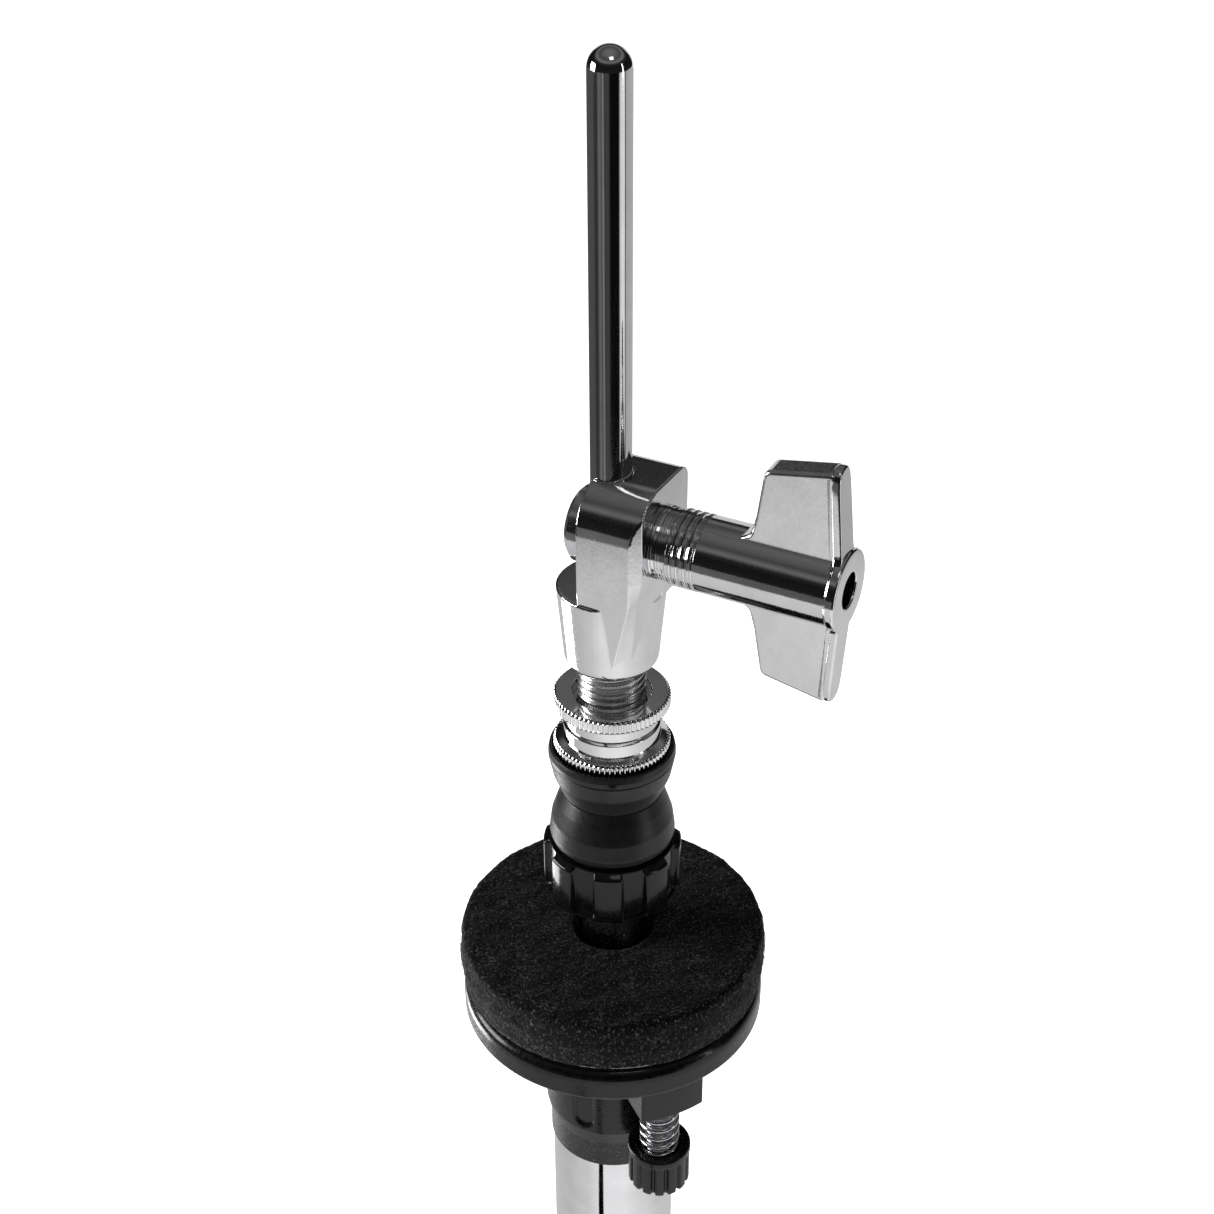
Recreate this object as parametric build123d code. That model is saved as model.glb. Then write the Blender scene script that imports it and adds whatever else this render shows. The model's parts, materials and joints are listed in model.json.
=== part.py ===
from build123d import *

import os
from math import cos, radians, sin

# The upper section of a hi-hat stand: a steel tube with the seat for the bottom cymbal on its top
# end, the pull rod that runs up through it, and the clutch that holds the top cymbal on the rod.
# Millimetres, +Z up, +X to the right and -Y to the front. The origin is the centre of the tube's
# lower end, where the tube drops into the base of the stand.

os.makedirs("parts", exist_ok=True)

# ---- clearances
FIXED_GAP = 0.02        # between pieces that never move against each other
RUNNING_GAP = 0.06      # radial, round a shaft that slides or turns
END_GAP = 0.1           # between end faces that pass each other
SOFT_GAP = 0.3          # round rubber
THREAD_GAP = 0.05       # radial, between a plain shaft and the nut on it

# ---- tube, pull rod and the bushes between them
TUBE_LENGTH = 254.0
TUBE_R = 11.1
TUBE_WALL = 1.2
TUBE_CHAMFER = 0.4
SPIGOT_STEP = 0.3       # the top end is turned down by this much for the seat
ROD_R = 3.175
ROD_ABOVE_BLOCK = 64.2  # from the top of the clutch to the tip of the rod
ROD_BELOW_TUBE = 25.0
ROD_THREAD_R = 3.0
ROD_THREAD_LENGTH = 23.0
PASSAGE_GAP = 0.425     # radial, wherever the rod only passes through
BOTTOM_BUSH_LENGTH = 14.0
TOP_PLUG_LENGTH = 8.0

# ---- seat
NECK_OVERLAP = 22.0     # how far the neck comes down over the tube
NECK_WALL = 1.4
NECK_FOOT_WALL = 0.8
NECK_TAPER = 3.0
NECK_ABOVE_TUBE = 4.4   # from the tube's end to the rim of the dish
DISH_R = 26.2
DISH_HEIGHT = 6.0
DISH_DECK = 2.0
DISH_WALL = 1.5
DECK_EDGE_R = 25.0
LIP_DROP = 2.6
RIB_COUNT = 6
RIB_THICKNESS = 1.4
RECESS_COUNT = 4
RECESS_WIDTH = 3.8
RECESS_DEPTH = 0.45
RECESS_FOOT = 4.0       # above the lower end of the neck
RECESS_TURN = -116.0    # direction of the first recess
COLLAR_HEIGHT = 5.8
COLLAR_WALL = 0.65
POST_R = 5.5
POST_PROUD = 8.95       # above the felt
POST_BORE_R = 4.5
POST_CHAMFER = 0.55
POST_FLANGE_GAP = 0.5   # between the post's flange and the tube's bore
POST_FLANGE = 3.0
SLEEVE_FLANGE_R = 6.5
SLEEVE_FLANGE = 1.3
SLEEVE_SINK = 1.0       # below the top of the post
PLATE_R = 25.0
PLATE_THICKNESS = 0.8
FELT_R = 26.7
FELT_THICKNESS = 9.85
TILT_BORE_R = 7.0       # hole of plate and felt, wide enough to tilt round the post

# ---- tilter
TILTER_TURN = -66.0     # direction of the screw from the axis
TILTER_R = 19.6         # distance of the screw from the axis
BRACKET_R = 25.3
BRACKET_SINK = 0.7      # how far the bracket runs into the neck
BRACKET_WIDTH = 11.5
BRACKET_DROP = 7.0      # below the rim of the dish
SCREW_R = 2.5
SCREW_TIP_R = 0.5       # flat of the pointed tip that lifts the plate
INSERT_WALL = 1.05
INSERT_LENGTH = 6.0
KNOB_R = 5.5
KNOB_HEIGHT = 8.5
KNOB_FLOOR = 1.0
KNOB_RECESS_GAP = 0.5   # round the spring
KNOB_RECESS = 1.5
KNOB_COLLAR = 1.6
FLUTE_COUNT = 14
FLUTE_R = 0.55
SPRING_LENGTH = 13.0
SPRING_GAP = 0.2        # between the screw and the spring
SPRING_WIRE = 0.8
SPRING_TURNS = 6

# ---- clutch: tube, nuts and rubbers, from the bottom up
CLUTCH_REST_GAP = 0.3   # between the post and the bottom nut
NUT_CORE_R = 10.6
NUT_RIB_R = 11.6
NUT_RIB_WIDTH = 4.6
NUT_RIB_COUNT = 8
NUT_RIB_TURN = -94.0
NUT_RIB_CHAMFER = 0.7
NUT_HEIGHT = 10.0
NUT_FLOOR = 1.6
NUT_HOLE_R = 4.0
NUT_RECESS_R = 9.8
NUT_RECESS = 2.2
NUT_INSERT_R = 7.6
NUT_INSERT_LEDGE = 0.6
BELL_R = 10.5
BELL_RAISE = 0.8        # edge of the lower rubber above the nut
BELL_EDGE_R = 10.2
BELL_EDGE = 1.4
BELL_SHOULDER = (10.06, 4.2)    # radius, and height above the edge of the rubber
BELL_NECK = (9.18, 7.0)
WAIST_R = 8.3
LOWER_RUBBER_HEIGHT = 9.3
UPPER_RUBBER_HEIGHT = 8.25
FLARE = (9.7, 3.7)              # radius, and height above the waist
RIM_R = 10.45
RIM_DROP = 1.0          # widest ring below the seat of the nut
RIM_LIP = 0.75          # lip above the seat of the nut
RIM_LIP_R = 10.25
THREAD_R = 5.55
KNURL_R = 9.525
LOWER_KNURL = 2.45
LOWER_BEVEL = 0.6
LOWER_HUB_R = 7.9
LOWER_HUB_TOP_R = 7.5
LOWER_NUT_HEIGHT = 5.7
HUB_CHAMFER = 0.35
UPPER_HUB_R = 7.65
UPPER_HUB = 3.05
UPPER_NUT_HEIGHT = 5.45
KNURL_CHAMFER = 0.5
COUNTERBORE_GAP = 0.9   # round the thread
COUNTERBORE = 2.0
THREAD_SHOWING = 5.8    # between the upper nut and the clutch body

# ---- clutch body; "across" is the direction of the wing nut, turned from +X
WING_TURN = -28.0
CUP_HEIGHT = 14.3
CUP_TOP_R = 8.7
CUP_FOOT_R = 7.45
CUP_ROUND = 2.0
TUBE_SOCKET = 10.0
BLOCK_HEIGHT = 19.5     # above the cup
BLOCK_LEFT = -1.6
BLOCK_RIGHT = 8.9
BLOCK_FRONT = -8.6
BLOCK_BACK = 8.3
BLOCK_FRONT_ROUND = 7.0
BLOCK_BACK_ROUND = 2.5
BLOCK_CHAMFER = 1.5
CHAMFER_FOOT = -3.9     # where the chamfer starts to run out, from the wing nut's axis
CHAMFER_END = -7.3      # where it has run out
CORNER_FOOT_FRONT = -6.6
CREASE_TURN = 25.0      # where the web's two creases meet the foot of the cup, from the front
SIDE_CREASE_TURN = 52.0
WING_AXIS_DROP = 9.8    # wing nut axis below the top of the block

# ---- eyebolt, washer and wing nut
EYE_HEAD_R = 6.2
EYE_HEAD_LEFT = -5.3
EYE_HEAD_RIGHT = 5.0
EYE_CHAMFER = 0.8
EYE_TRAVEL = 0.5
SHANK_R = 3.0
SHANK_END = 30.0
WASHER_R = 5.8
WASHER_THICKNESS = 1.1
WING_NUT_END = 38.9
WING_RIB_R = 6.05
WING_RIB_START = 11.2
WING_RIB_END = 16.3
WING_NECK_R = 5.7
WING_BARREL_R = 5.95
WING_BOSS_R = 6.3
WING_BOSS = 1.4
WING_HOLE_R = 2.75
WING_THICKNESS = 4.5
WING_ROOT_LEFT = 22.0
WING_EDGE_LEFT = 24.5
WING_EDGE_RISE = 8.3
WING_TIP_LEFT = 26.2
WING_TIP_LEFT_RISE = 17.6
WING_TIP_RIGHT = 37.2
WING_TIP_RIGHT_RISE = 20.0
WING_RIGHT = 38.2
WING_LEAN = 2.7         # the upper blade leans this far to the front at rest
WING_EDGE_ROUND = 0.9

# ---- heights that follow
NECK_BOTTOM = TUBE_LENGTH - NECK_OVERLAP
RIM_Z = TUBE_LENGTH + NECK_ABOVE_TUBE
DECK_Z = RIM_Z + DISH_HEIGHT
FELT_Z = DECK_Z + PLATE_THICKNESS
FELT_TOP = FELT_Z + FELT_THICKNESS
POST_TOP = FELT_TOP + POST_PROUD
POST_BOTTOM = TUBE_LENGTH - POST_FLANGE
SLEEVE_BOTTOM = POST_BOTTOM - SOFT_GAP - SLEEVE_FLANGE
PLUG_TOP = SLEEVE_BOTTOM - END_GAP
BRACKET_Z = RIM_Z - BRACKET_DROP
KNOB_TOP = BRACKET_Z - SPRING_LENGTH + KNOB_RECESS
KNOB_BOTTOM = KNOB_TOP - KNOB_HEIGHT
NUT_Z = POST_TOP + CLUTCH_REST_GAP
NUT_TOP = NUT_Z + NUT_HEIGHT
BELL_Z = NUT_TOP + BELL_RAISE
WAIST_Z = BELL_Z + LOWER_RUBBER_HEIGHT
LOWER_NUT_Z = WAIST_Z + UPPER_RUBBER_HEIGHT
UPPER_NUT_Z = LOWER_NUT_Z + LOWER_NUT_HEIGHT
CUP_Z = UPPER_NUT_Z + UPPER_NUT_HEIGHT + THREAD_SHOWING
SHELF_Z = CUP_Z + CUP_HEIGHT
BLOCK_TOP = SHELF_Z + BLOCK_HEIGHT
WING_Z = BLOCK_TOP - WING_AXIS_DROP
ROD_TOP = BLOCK_TOP + ROD_ABOVE_BLOCK
CLUTCH_TUBE_BOTTOM = NUT_Z + NUT_FLOOR + SOFT_GAP
PASSAGE_R = ROD_R + PASSAGE_GAP
TUBE_BORE_R = TUBE_R - TUBE_WALL
SPIGOT_R = TUBE_R - SPIGOT_STEP
NECK_R = SPIGOT_R + NECK_WALL
NECK_FOOT_R = SPIGOT_R + NECK_FOOT_WALL
POST_FLANGE_R = TUBE_BORE_R - POST_FLANGE_GAP
BRACKET_INNER_R = NECK_R - BRACKET_SINK
SPRING_R = SCREW_R + SPRING_GAP + SPRING_WIRE
KNOB_RECESS_R = SPRING_R + KNOB_RECESS_GAP
COUNTERBORE_R = THREAD_R + COUNTERBORE_GAP
SPIGOT_Z = NECK_BOTTOM - COLLAR_HEIGHT - END_GAP
EYE_HOLE_R = ROD_R + EYE_TRAVEL / 2 + END_GAP
EYE_HOLE_SHIFT = EYE_HOLE_R - ROD_R - FIXED_GAP


def rod(radius, low, high):
    """An upright cylinder on the stand's axis."""
    return Pos(0, 0, low) * Cylinder(radius, high - low, align=(Align.CENTER, Align.CENTER, Align.MIN))


def turned(*outline):
    """A body of revolution about Z; the outline is a list of (radius, height)."""
    return revolve(Plane.XZ * make_face(Polyline(*outline, close=True)), Axis.Z)


def ring(outer, inner, low, high):
    return rod(outer, low, high) - rod(inner, low, high)


def across(shape):
    """Lays a shape made along Z along the wing nut's axis, before the clutch is turned."""
    return Pos(0, 0, WING_Z) * Rot(0, 90, 0) * shape


def turned_to_wing(shape):
    return Rot(0, 0, WING_TURN) * shape


def at_tilter(shape):
    """Puts a shape made on the Z axis where the tilter screw stands."""
    return Rot(0, 0, TILTER_TURN) * Pos(TILTER_R, 0, 0) * shape


# ---- tube and rod

def upper_tube():
    outside = turned(
        (0, 0),
        (TUBE_R - TUBE_CHAMFER, 0),
        (TUBE_R, TUBE_CHAMFER),
        (TUBE_R, SPIGOT_Z),
        (SPIGOT_R, SPIGOT_Z),
        (SPIGOT_R, TUBE_LENGTH),
        (0, TUBE_LENGTH),
    )
    return outside - rod(TUBE_BORE_R, 0, TUBE_LENGTH)


def tube_collar():
    return ring(
        SPIGOT_R + COLLAR_WALL, SPIGOT_R + FIXED_GAP, NECK_BOTTOM - COLLAR_HEIGHT, NECK_BOTTOM
    )


def bottom_guide_bush():
    return ring(TUBE_BORE_R - FIXED_GAP, PASSAGE_R, TUBE_CHAMFER, BOTTOM_BUSH_LENGTH)


def top_guide_plug():
    return ring(TUBE_BORE_R - FIXED_GAP, PASSAGE_R, PLUG_TOP - TOP_PLUG_LENGTH, PLUG_TOP)


def rod_guide_sleeve():
    bush = rod(POST_BORE_R - RUNNING_GAP, SLEEVE_BOTTOM, POST_TOP - SLEEVE_SINK)
    flange = rod(SLEEVE_FLANGE_R, SLEEVE_BOTTOM, SLEEVE_BOTTOM + SLEEVE_FLANGE)
    return bush + flange - rod(ROD_R + RUNNING_GAP, SLEEVE_BOTTOM, POST_TOP)


def pull_rod():
    thread_top = ROD_THREAD_LENGTH - ROD_BELOW_TUBE
    chamfer = ROD_R - ROD_THREAD_R
    shaft = rod(ROD_R, thread_top, ROD_TOP - ROD_R)
    tip = Pos(0, 0, ROD_TOP - ROD_R) * Sphere(ROD_R)
    thread = turned(
        (0, -ROD_BELOW_TUBE),
        (ROD_THREAD_R - chamfer, -ROD_BELOW_TUBE),
        (ROD_THREAD_R, chamfer - ROD_BELOW_TUBE),
        (ROD_THREAD_R, thread_top),
        (0, thread_top),
    )
    return shaft + tip + thread


# ---- seat

def dish():
    """The shallow dish: a deck with a rounded lip that turns down to the rim."""
    lip = Spline(
        (DECK_EDGE_R, DECK_Z),
        (DISH_R, DECK_Z - LIP_DROP),
        tangents=[(1, 0), (0, -1)],
    )
    edge = Polyline(
        (DISH_R, DECK_Z - LIP_DROP),
        (DISH_R, RIM_Z),
        (DISH_R - DISH_WALL, RIM_Z),
        (DISH_R - DISH_WALL, DECK_Z - DISH_DECK),
        (0, DECK_Z - DISH_DECK),
        (0, DECK_Z),
        (DECK_EDGE_R, DECK_Z),
    )
    return revolve(Plane.XZ * make_face(Curve() + [lip, edge]), Axis.Z)


def neck():
    return turned(
        (0, NECK_BOTTOM),
        (NECK_FOOT_R, NECK_BOTTOM),
        (NECK_R, NECK_BOTTOM + NECK_TAPER),
        (NECK_R, DECK_Z - DISH_DECK),
        (0, DECK_Z - DISH_DECK),
    )


def neck_recess(turn):
    """One upright slot with a round lower end, sunk into the outside of the neck."""
    low = NECK_BOTTOM + RECESS_FOOT + RECESS_WIDTH / 2
    height = RIM_Z - low
    slot = Rectangle(RECESS_WIDTH, height, align=(Align.CENTER, Align.MIN)) + Circle(RECESS_WIDTH / 2)
    cutter = extrude(Plane.YZ * slot, NECK_R)
    return Rot(0, 0, turn) * Pos(NECK_R - RECESS_DEPTH, 0, low) * cutter


def dish_rib(turn):
    """One stiffening rib under the deck, between neck and wall."""
    inner = NECK_R - DISH_WALL
    outer = DISH_R - DISH_WALL / 2
    plate = Box(
        outer - inner, RIB_THICKNESS, DISH_HEIGHT - DISH_DECK / 2, align=(Align.MIN, Align.CENTER, Align.MIN)
    )
    return Rot(0, 0, turn) * Pos(inner, 0, RIM_Z + DISH_DECK / 2) * plate


def tilter_bracket():
    block = Pos(BRACKET_INNER_R, 0, BRACKET_Z) * Box(
        BRACKET_R,
        BRACKET_WIDTH,
        DECK_Z - DISH_DECK / 2 - BRACKET_Z,
        align=(Align.MIN, Align.CENTER, Align.MIN),
    )
    return Rot(0, 0, TILTER_TURN) * (block & rod(BRACKET_R, BRACKET_Z, DECK_Z))


def seat_cup():
    cup = dish() + neck()
    for index in range(RIB_COUNT):
        cup += dish_rib(TILTER_TURN + 360 * (index + 0.5) / RIB_COUNT)
    cup += tilter_bracket()
    for index in range(RECESS_COUNT):
        cup -= neck_recess(RECESS_TURN + 360 * index / RECESS_COUNT)
    cup -= rod(SPIGOT_R + FIXED_GAP, NECK_BOTTOM, TUBE_LENGTH)
    cup -= rod(POST_R + FIXED_GAP, TUBE_LENGTH, DECK_Z)
    cup -= at_tilter(rod(SCREW_R + INSERT_WALL + FIXED_GAP, BRACKET_Z, BRACKET_Z + INSERT_LENGTH))
    cup -= at_tilter(rod(SCREW_R + SOFT_GAP, BRACKET_Z, DECK_Z))
    return cup


def centre_post():
    post = rod(POST_R, POST_BOTTOM, POST_TOP)
    post = chamfer(post.edges().sort_by(Axis.Z)[-1:], POST_CHAMFER)
    flange = rod(POST_FLANGE_R, POST_BOTTOM, TUBE_LENGTH)
    return post + flange - rod(POST_BORE_R, POST_BOTTOM, POST_TOP)


def tilt_plate():
    return ring(PLATE_R, TILT_BORE_R, DECK_Z, FELT_Z)


def seat_felt():
    return ring(FELT_R, TILT_BORE_R, FELT_Z, FELT_TOP)


# ---- tilter

def tilter_insert():
    return at_tilter(
        ring(SCREW_R + INSERT_WALL, SCREW_R + THREAD_GAP, BRACKET_Z, BRACKET_Z + INSERT_LENGTH)
    )


def tilter_screw():
    top = DECK_Z - END_GAP
    bottom = KNOB_BOTTOM + KNOB_FLOOR + END_GAP
    point = SCREW_R - SCREW_TIP_R
    return at_tilter(
        turned((0, bottom), (SCREW_R, bottom), (SCREW_R, top - point), (SCREW_TIP_R, top), (0, top))
    )


def tilter_knob():
    knob = turned(
        (0, KNOB_BOTTOM),
        (KNOB_R - FLUTE_R, KNOB_BOTTOM),
        (KNOB_R, KNOB_BOTTOM + FLUTE_R),
        (KNOB_R, KNOB_TOP - FLUTE_R),
        (KNOB_R - FLUTE_R, KNOB_TOP),
        (0, KNOB_TOP),
    )
    for index in range(FLUTE_COUNT):
        flute = Pos(KNOB_R, 0, 0) * rod(FLUTE_R, KNOB_BOTTOM, KNOB_TOP - KNOB_COLLAR)
        knob -= Rot(0, 0, 360 * index / FLUTE_COUNT) * flute
    knob -= rod(KNOB_RECESS_R, KNOB_TOP - KNOB_RECESS, KNOB_TOP)
    knob -= rod(SCREW_R + THREAD_GAP, KNOB_BOTTOM + KNOB_FLOOR, KNOB_TOP)
    return at_tilter(knob)


def tilter_spring():
    wire_r = SPRING_WIRE / 2
    height = SPRING_LENGTH - SPRING_WIRE - END_GAP
    helix = Helix(height / SPRING_TURNS, height, SPRING_R - wire_r)
    coil = sweep(Plane(helix @ 0, z_dir=helix % 0) * Circle(wire_r), helix, is_frenet=True)
    return at_tilter(Pos(0, 0, BRACKET_Z - SPRING_LENGTH + wire_r + END_GAP / 2) * coil)


# ---- clutch, from the bottom nut up

def nut_rib(turn):
    """One grip rib of the bottom nut, with its top chamfered."""
    outline = turned(
        (0, NUT_Z),
        (NUT_RIB_R, NUT_Z),
        (NUT_RIB_R, NUT_TOP - NUT_RIB_CHAMFER),
        (NUT_CORE_R, NUT_TOP),
        (0, NUT_TOP),
    )
    bar = Pos(0, 0, NUT_Z) * Box(
        NUT_RIB_R, NUT_RIB_WIDTH, NUT_HEIGHT, align=(Align.MIN, Align.CENTER, Align.MIN)
    )
    return Rot(0, 0, turn) * (outline & bar)


def bottom_nut():
    nut = rod(NUT_CORE_R, NUT_Z, NUT_TOP)
    for index in range(NUT_RIB_COUNT):
        nut += nut_rib(NUT_RIB_TURN + 360 * index / NUT_RIB_COUNT)
    nut -= rod(NUT_HOLE_R, NUT_Z, NUT_TOP)
    nut -= rod(THREAD_R + SOFT_GAP, NUT_Z + NUT_FLOOR, NUT_TOP)
    nut -= rod(NUT_INSERT_R + FIXED_GAP, NUT_Z + NUT_FLOOR + NUT_INSERT_LEDGE, NUT_TOP)
    return nut - rod(NUT_RECESS_R, NUT_TOP - NUT_RECESS, NUT_TOP)


def bottom_nut_insert():
    bottom = NUT_Z + NUT_FLOOR + NUT_INSERT_LEDGE
    return ring(NUT_INSERT_R, THREAD_R + THREAD_GAP, bottom, NUT_TOP - NUT_RECESS)


def lower_rubber_washer():
    outline = turned(
        (0, NUT_TOP - NUT_RECESS + SOFT_GAP),
        (NUT_RECESS_R - SOFT_GAP, NUT_TOP - NUT_RECESS + SOFT_GAP),
        (NUT_RECESS_R - SOFT_GAP, BELL_Z),
        (BELL_EDGE_R, BELL_Z),
        (BELL_R, BELL_Z + BELL_EDGE),
        (BELL_SHOULDER[0], BELL_Z + BELL_SHOULDER[1]),
        (BELL_NECK[0], BELL_Z + BELL_NECK[1]),
        (WAIST_R, WAIST_Z),
        (0, WAIST_Z),
    )
    return outline - rod(THREAD_R + FIXED_GAP, NUT_Z, WAIST_Z)


def upper_rubber_washer():
    seat_r = KNURL_R + SOFT_GAP
    outline = turned(
        (0, WAIST_Z),
        (WAIST_R, WAIST_Z),
        (FLARE[0], WAIST_Z + FLARE[1]),
        (RIM_R, LOWER_NUT_Z - RIM_DROP),
        (RIM_LIP_R, LOWER_NUT_Z + RIM_LIP),
        (seat_r, LOWER_NUT_Z + RIM_LIP),
        (seat_r, LOWER_NUT_Z),
        (0, LOWER_NUT_Z),
    )
    return outline - rod(THREAD_R + SOFT_GAP, WAIST_Z, LOWER_NUT_Z)


def clutch_tube():
    return ring(THREAD_R, PASSAGE_R, CLUTCH_TUBE_BOTTOM, CUP_Z + TUBE_SOCKET)


def lower_lock_nut():
    knurl_top = LOWER_NUT_Z + LOWER_KNURL
    outline = turned(
        (0, LOWER_NUT_Z),
        (KNURL_R - HUB_CHAMFER, LOWER_NUT_Z),
        (KNURL_R, LOWER_NUT_Z + HUB_CHAMFER),
        (KNURL_R, knurl_top - HUB_CHAMFER),
        (KNURL_R - HUB_CHAMFER, knurl_top),
        (LOWER_HUB_R, knurl_top + LOWER_BEVEL),
        (LOWER_HUB_R, UPPER_NUT_Z - HUB_CHAMFER),
        (LOWER_HUB_TOP_R, UPPER_NUT_Z),
        (0, UPPER_NUT_Z),
    )
    return outline - rod(THREAD_R + THREAD_GAP, LOWER_NUT_Z, UPPER_NUT_Z)


def upper_lock_nut():
    top = UPPER_NUT_Z + UPPER_NUT_HEIGHT
    flange = UPPER_NUT_Z + UPPER_HUB
    outline = turned(
        (0, UPPER_NUT_Z),
        (UPPER_HUB_R - HUB_CHAMFER, UPPER_NUT_Z),
        (UPPER_HUB_R, UPPER_NUT_Z + HUB_CHAMFER),
        (UPPER_HUB_R, flange),
        (KNURL_R - HUB_CHAMFER, flange),
        (KNURL_R, flange + HUB_CHAMFER),
        (KNURL_R, top - KNURL_CHAMFER),
        (KNURL_R - KNURL_CHAMFER, top),
        (0, top),
    )
    bored = outline - rod(THREAD_R + THREAD_GAP, UPPER_NUT_Z, top)
    return bored - rod(COUNTERBORE_R, top - COUNTERBORE, top)


# ---- clutch body and its clamp; made along X, then turned to the wing nut's direction

def block():
    """The upright block, with a wide round along its top front edge and a small one at the back."""
    solid = Pos(BLOCK_LEFT, BLOCK_FRONT, SHELF_Z) * Box(
        BLOCK_RIGHT - BLOCK_LEFT, BLOCK_BACK - BLOCK_FRONT, BLOCK_HEIGHT,
        align=(Align.MIN, Align.MIN, Align.MIN),
    )
    top_edges = solid.edges().filter_by(Axis.X).group_by(Axis.Z)[-1].sort_by(Axis.Y)
    solid = fillet(top_edges[0], BLOCK_FRONT_ROUND)
    back_edge = solid.edges().filter_by(Axis.X).group_by(Axis.Y)[-1].sort_by(Axis.Z)[-1]
    return fillet(back_edge, BLOCK_BACK_ROUND)


def cup():
    body = Pos(0, 0, CUP_Z) * Cone(
        CUP_FOOT_R, CUP_TOP_R, CUP_HEIGHT, align=(Align.CENTER, Align.CENTER, Align.MIN)
    )
    return fillet(body.edges().sort_by(Axis.Z)[:1], CUP_ROUND)


def corner_section(height, front, corner_right, side_right, side_front, back_right):
    """One level of the block's front half: front edge, corner, start of the right side, its end."""
    outline = Polyline(
        (BLOCK_LEFT, front),
        (corner_right, front),
        (side_right, side_front),
        (back_right, 0),
        (BLOCK_LEFT, 0),
        close=True,
    )
    return Pos(0, 0, height) * make_face(outline)


def front_corner():
    """The web under the block's front right corner: the chamfer runs out and leaves a crease that
    draws in towards the foot of the cup."""
    chamfer_right = BLOCK_RIGHT - BLOCK_CHAMFER
    chamfer_front = BLOCK_FRONT + BLOCK_CHAMFER
    middle = (chamfer_right + BLOCK_RIGHT) / 2
    foot = CUP_FOOT_R - CUP_ROUND / 4
    side = radians(SIDE_CREASE_TURN)
    sections = [
        corner_section(
            CUP_Z + CUP_ROUND / 2, CORNER_FOOT_FRONT, foot * sin(radians(CREASE_TURN)),
            foot * sin(side), -foot * cos(side), foot,
        ),
        corner_section(
            WING_Z + CHAMFER_END, BLOCK_FRONT, chamfer_right, middle, chamfer_front, BLOCK_RIGHT,
        ),
        corner_section(
            WING_Z + CHAMFER_FOOT, BLOCK_FRONT, chamfer_right, BLOCK_RIGHT, chamfer_front, BLOCK_RIGHT,
        ),
    ]
    return loft(sections, ruled=True)


def under_corner():
    """The space that the web takes from the block."""
    return Pos(BLOCK_LEFT, BLOCK_FRONT, SHELF_Z) * Box(
        BLOCK_RIGHT - BLOCK_LEFT, -BLOCK_FRONT, WING_Z + CHAMFER_FOOT - SHELF_Z,
        align=(Align.MIN, Align.MIN, Align.MIN),
    )


def corner_chamfer():
    """The wedge cut off the block's front right edge."""
    reach = 2 * BLOCK_CHAMFER
    wedge = Polyline(
        (BLOCK_RIGHT - reach, BLOCK_FRONT - BLOCK_CHAMFER),
        (BLOCK_RIGHT + BLOCK_CHAMFER, BLOCK_FRONT - BLOCK_CHAMFER),
        (BLOCK_RIGHT + BLOCK_CHAMFER, BLOCK_FRONT + reach),
        close=True,
    )
    return Pos(0, 0, WING_Z + CHAMFER_FOOT) * extrude(make_face(wedge), WING_AXIS_DROP - CHAMFER_FOOT)


def clutch_body():
    body = cup() + (block() - corner_chamfer() - under_corner()) + front_corner()
    body -= rod(THREAD_R + FIXED_GAP, CUP_Z, CUP_Z + TUBE_SOCKET)
    body -= rod(ROD_R + RUNNING_GAP, CUP_Z, BLOCK_TOP)
    body -= across(rod(EYE_HEAD_R + RUNNING_GAP, EYE_HEAD_LEFT, EYE_HEAD_RIGHT + END_GAP))
    body -= across(rod(SHANK_R + END_GAP, 0, BLOCK_RIGHT))
    return turned_to_wing(body)


def clutch_eyebolt():
    head = turned(
        (0, EYE_HEAD_LEFT),
        (EYE_HEAD_R - EYE_CHAMFER, EYE_HEAD_LEFT),
        (EYE_HEAD_R, EYE_HEAD_LEFT + EYE_CHAMFER),
        (EYE_HEAD_R, EYE_HEAD_RIGHT),
        (SHANK_R, EYE_HEAD_RIGHT),
        (SHANK_R, SHANK_END),
        (0, SHANK_END),
    )
    hole = Pos(EYE_HOLE_SHIFT, 0, 0) * rod(EYE_HOLE_R, WING_Z - 2 * EYE_HEAD_R, WING_Z + 2 * EYE_HEAD_R)
    return turned_to_wing(across(head) - hole)


def wing_washer():
    return turned_to_wing(
        across(ring(WASHER_R, SHANK_R + END_GAP, BLOCK_RIGHT, BLOCK_RIGHT + WASHER_THICKNESS))
    )


def wings():
    """Both blades: one outline above the barrel, and the same outline mirrored below it."""
    outline = Polyline(
        (WING_ROOT_LEFT, 0),
        (WING_ROOT_LEFT, WING_BARREL_R - WING_EDGE_ROUND),
        (WING_EDGE_LEFT, WING_EDGE_RISE),
        (WING_TIP_LEFT, WING_TIP_LEFT_RISE),
        (WING_TIP_RIGHT, WING_TIP_RIGHT_RISE),
        (WING_RIGHT, WING_BARREL_R),
        (WING_RIGHT, 0),
        close=True,
    )
    blade = extrude(Plane.XZ * make_face(outline), WING_THICKNESS / 2, both=True)
    tips = blade.edges().filter_by(Axis.Y).sort_by(Axis.Z)[-2:]
    blade = fillet(tips, WING_EDGE_ROUND)
    return Pos(0, 0, WING_Z) * Rot(WING_LEAN, 0, 0) * (blade + mirror(blade, Plane.XY))


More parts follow.
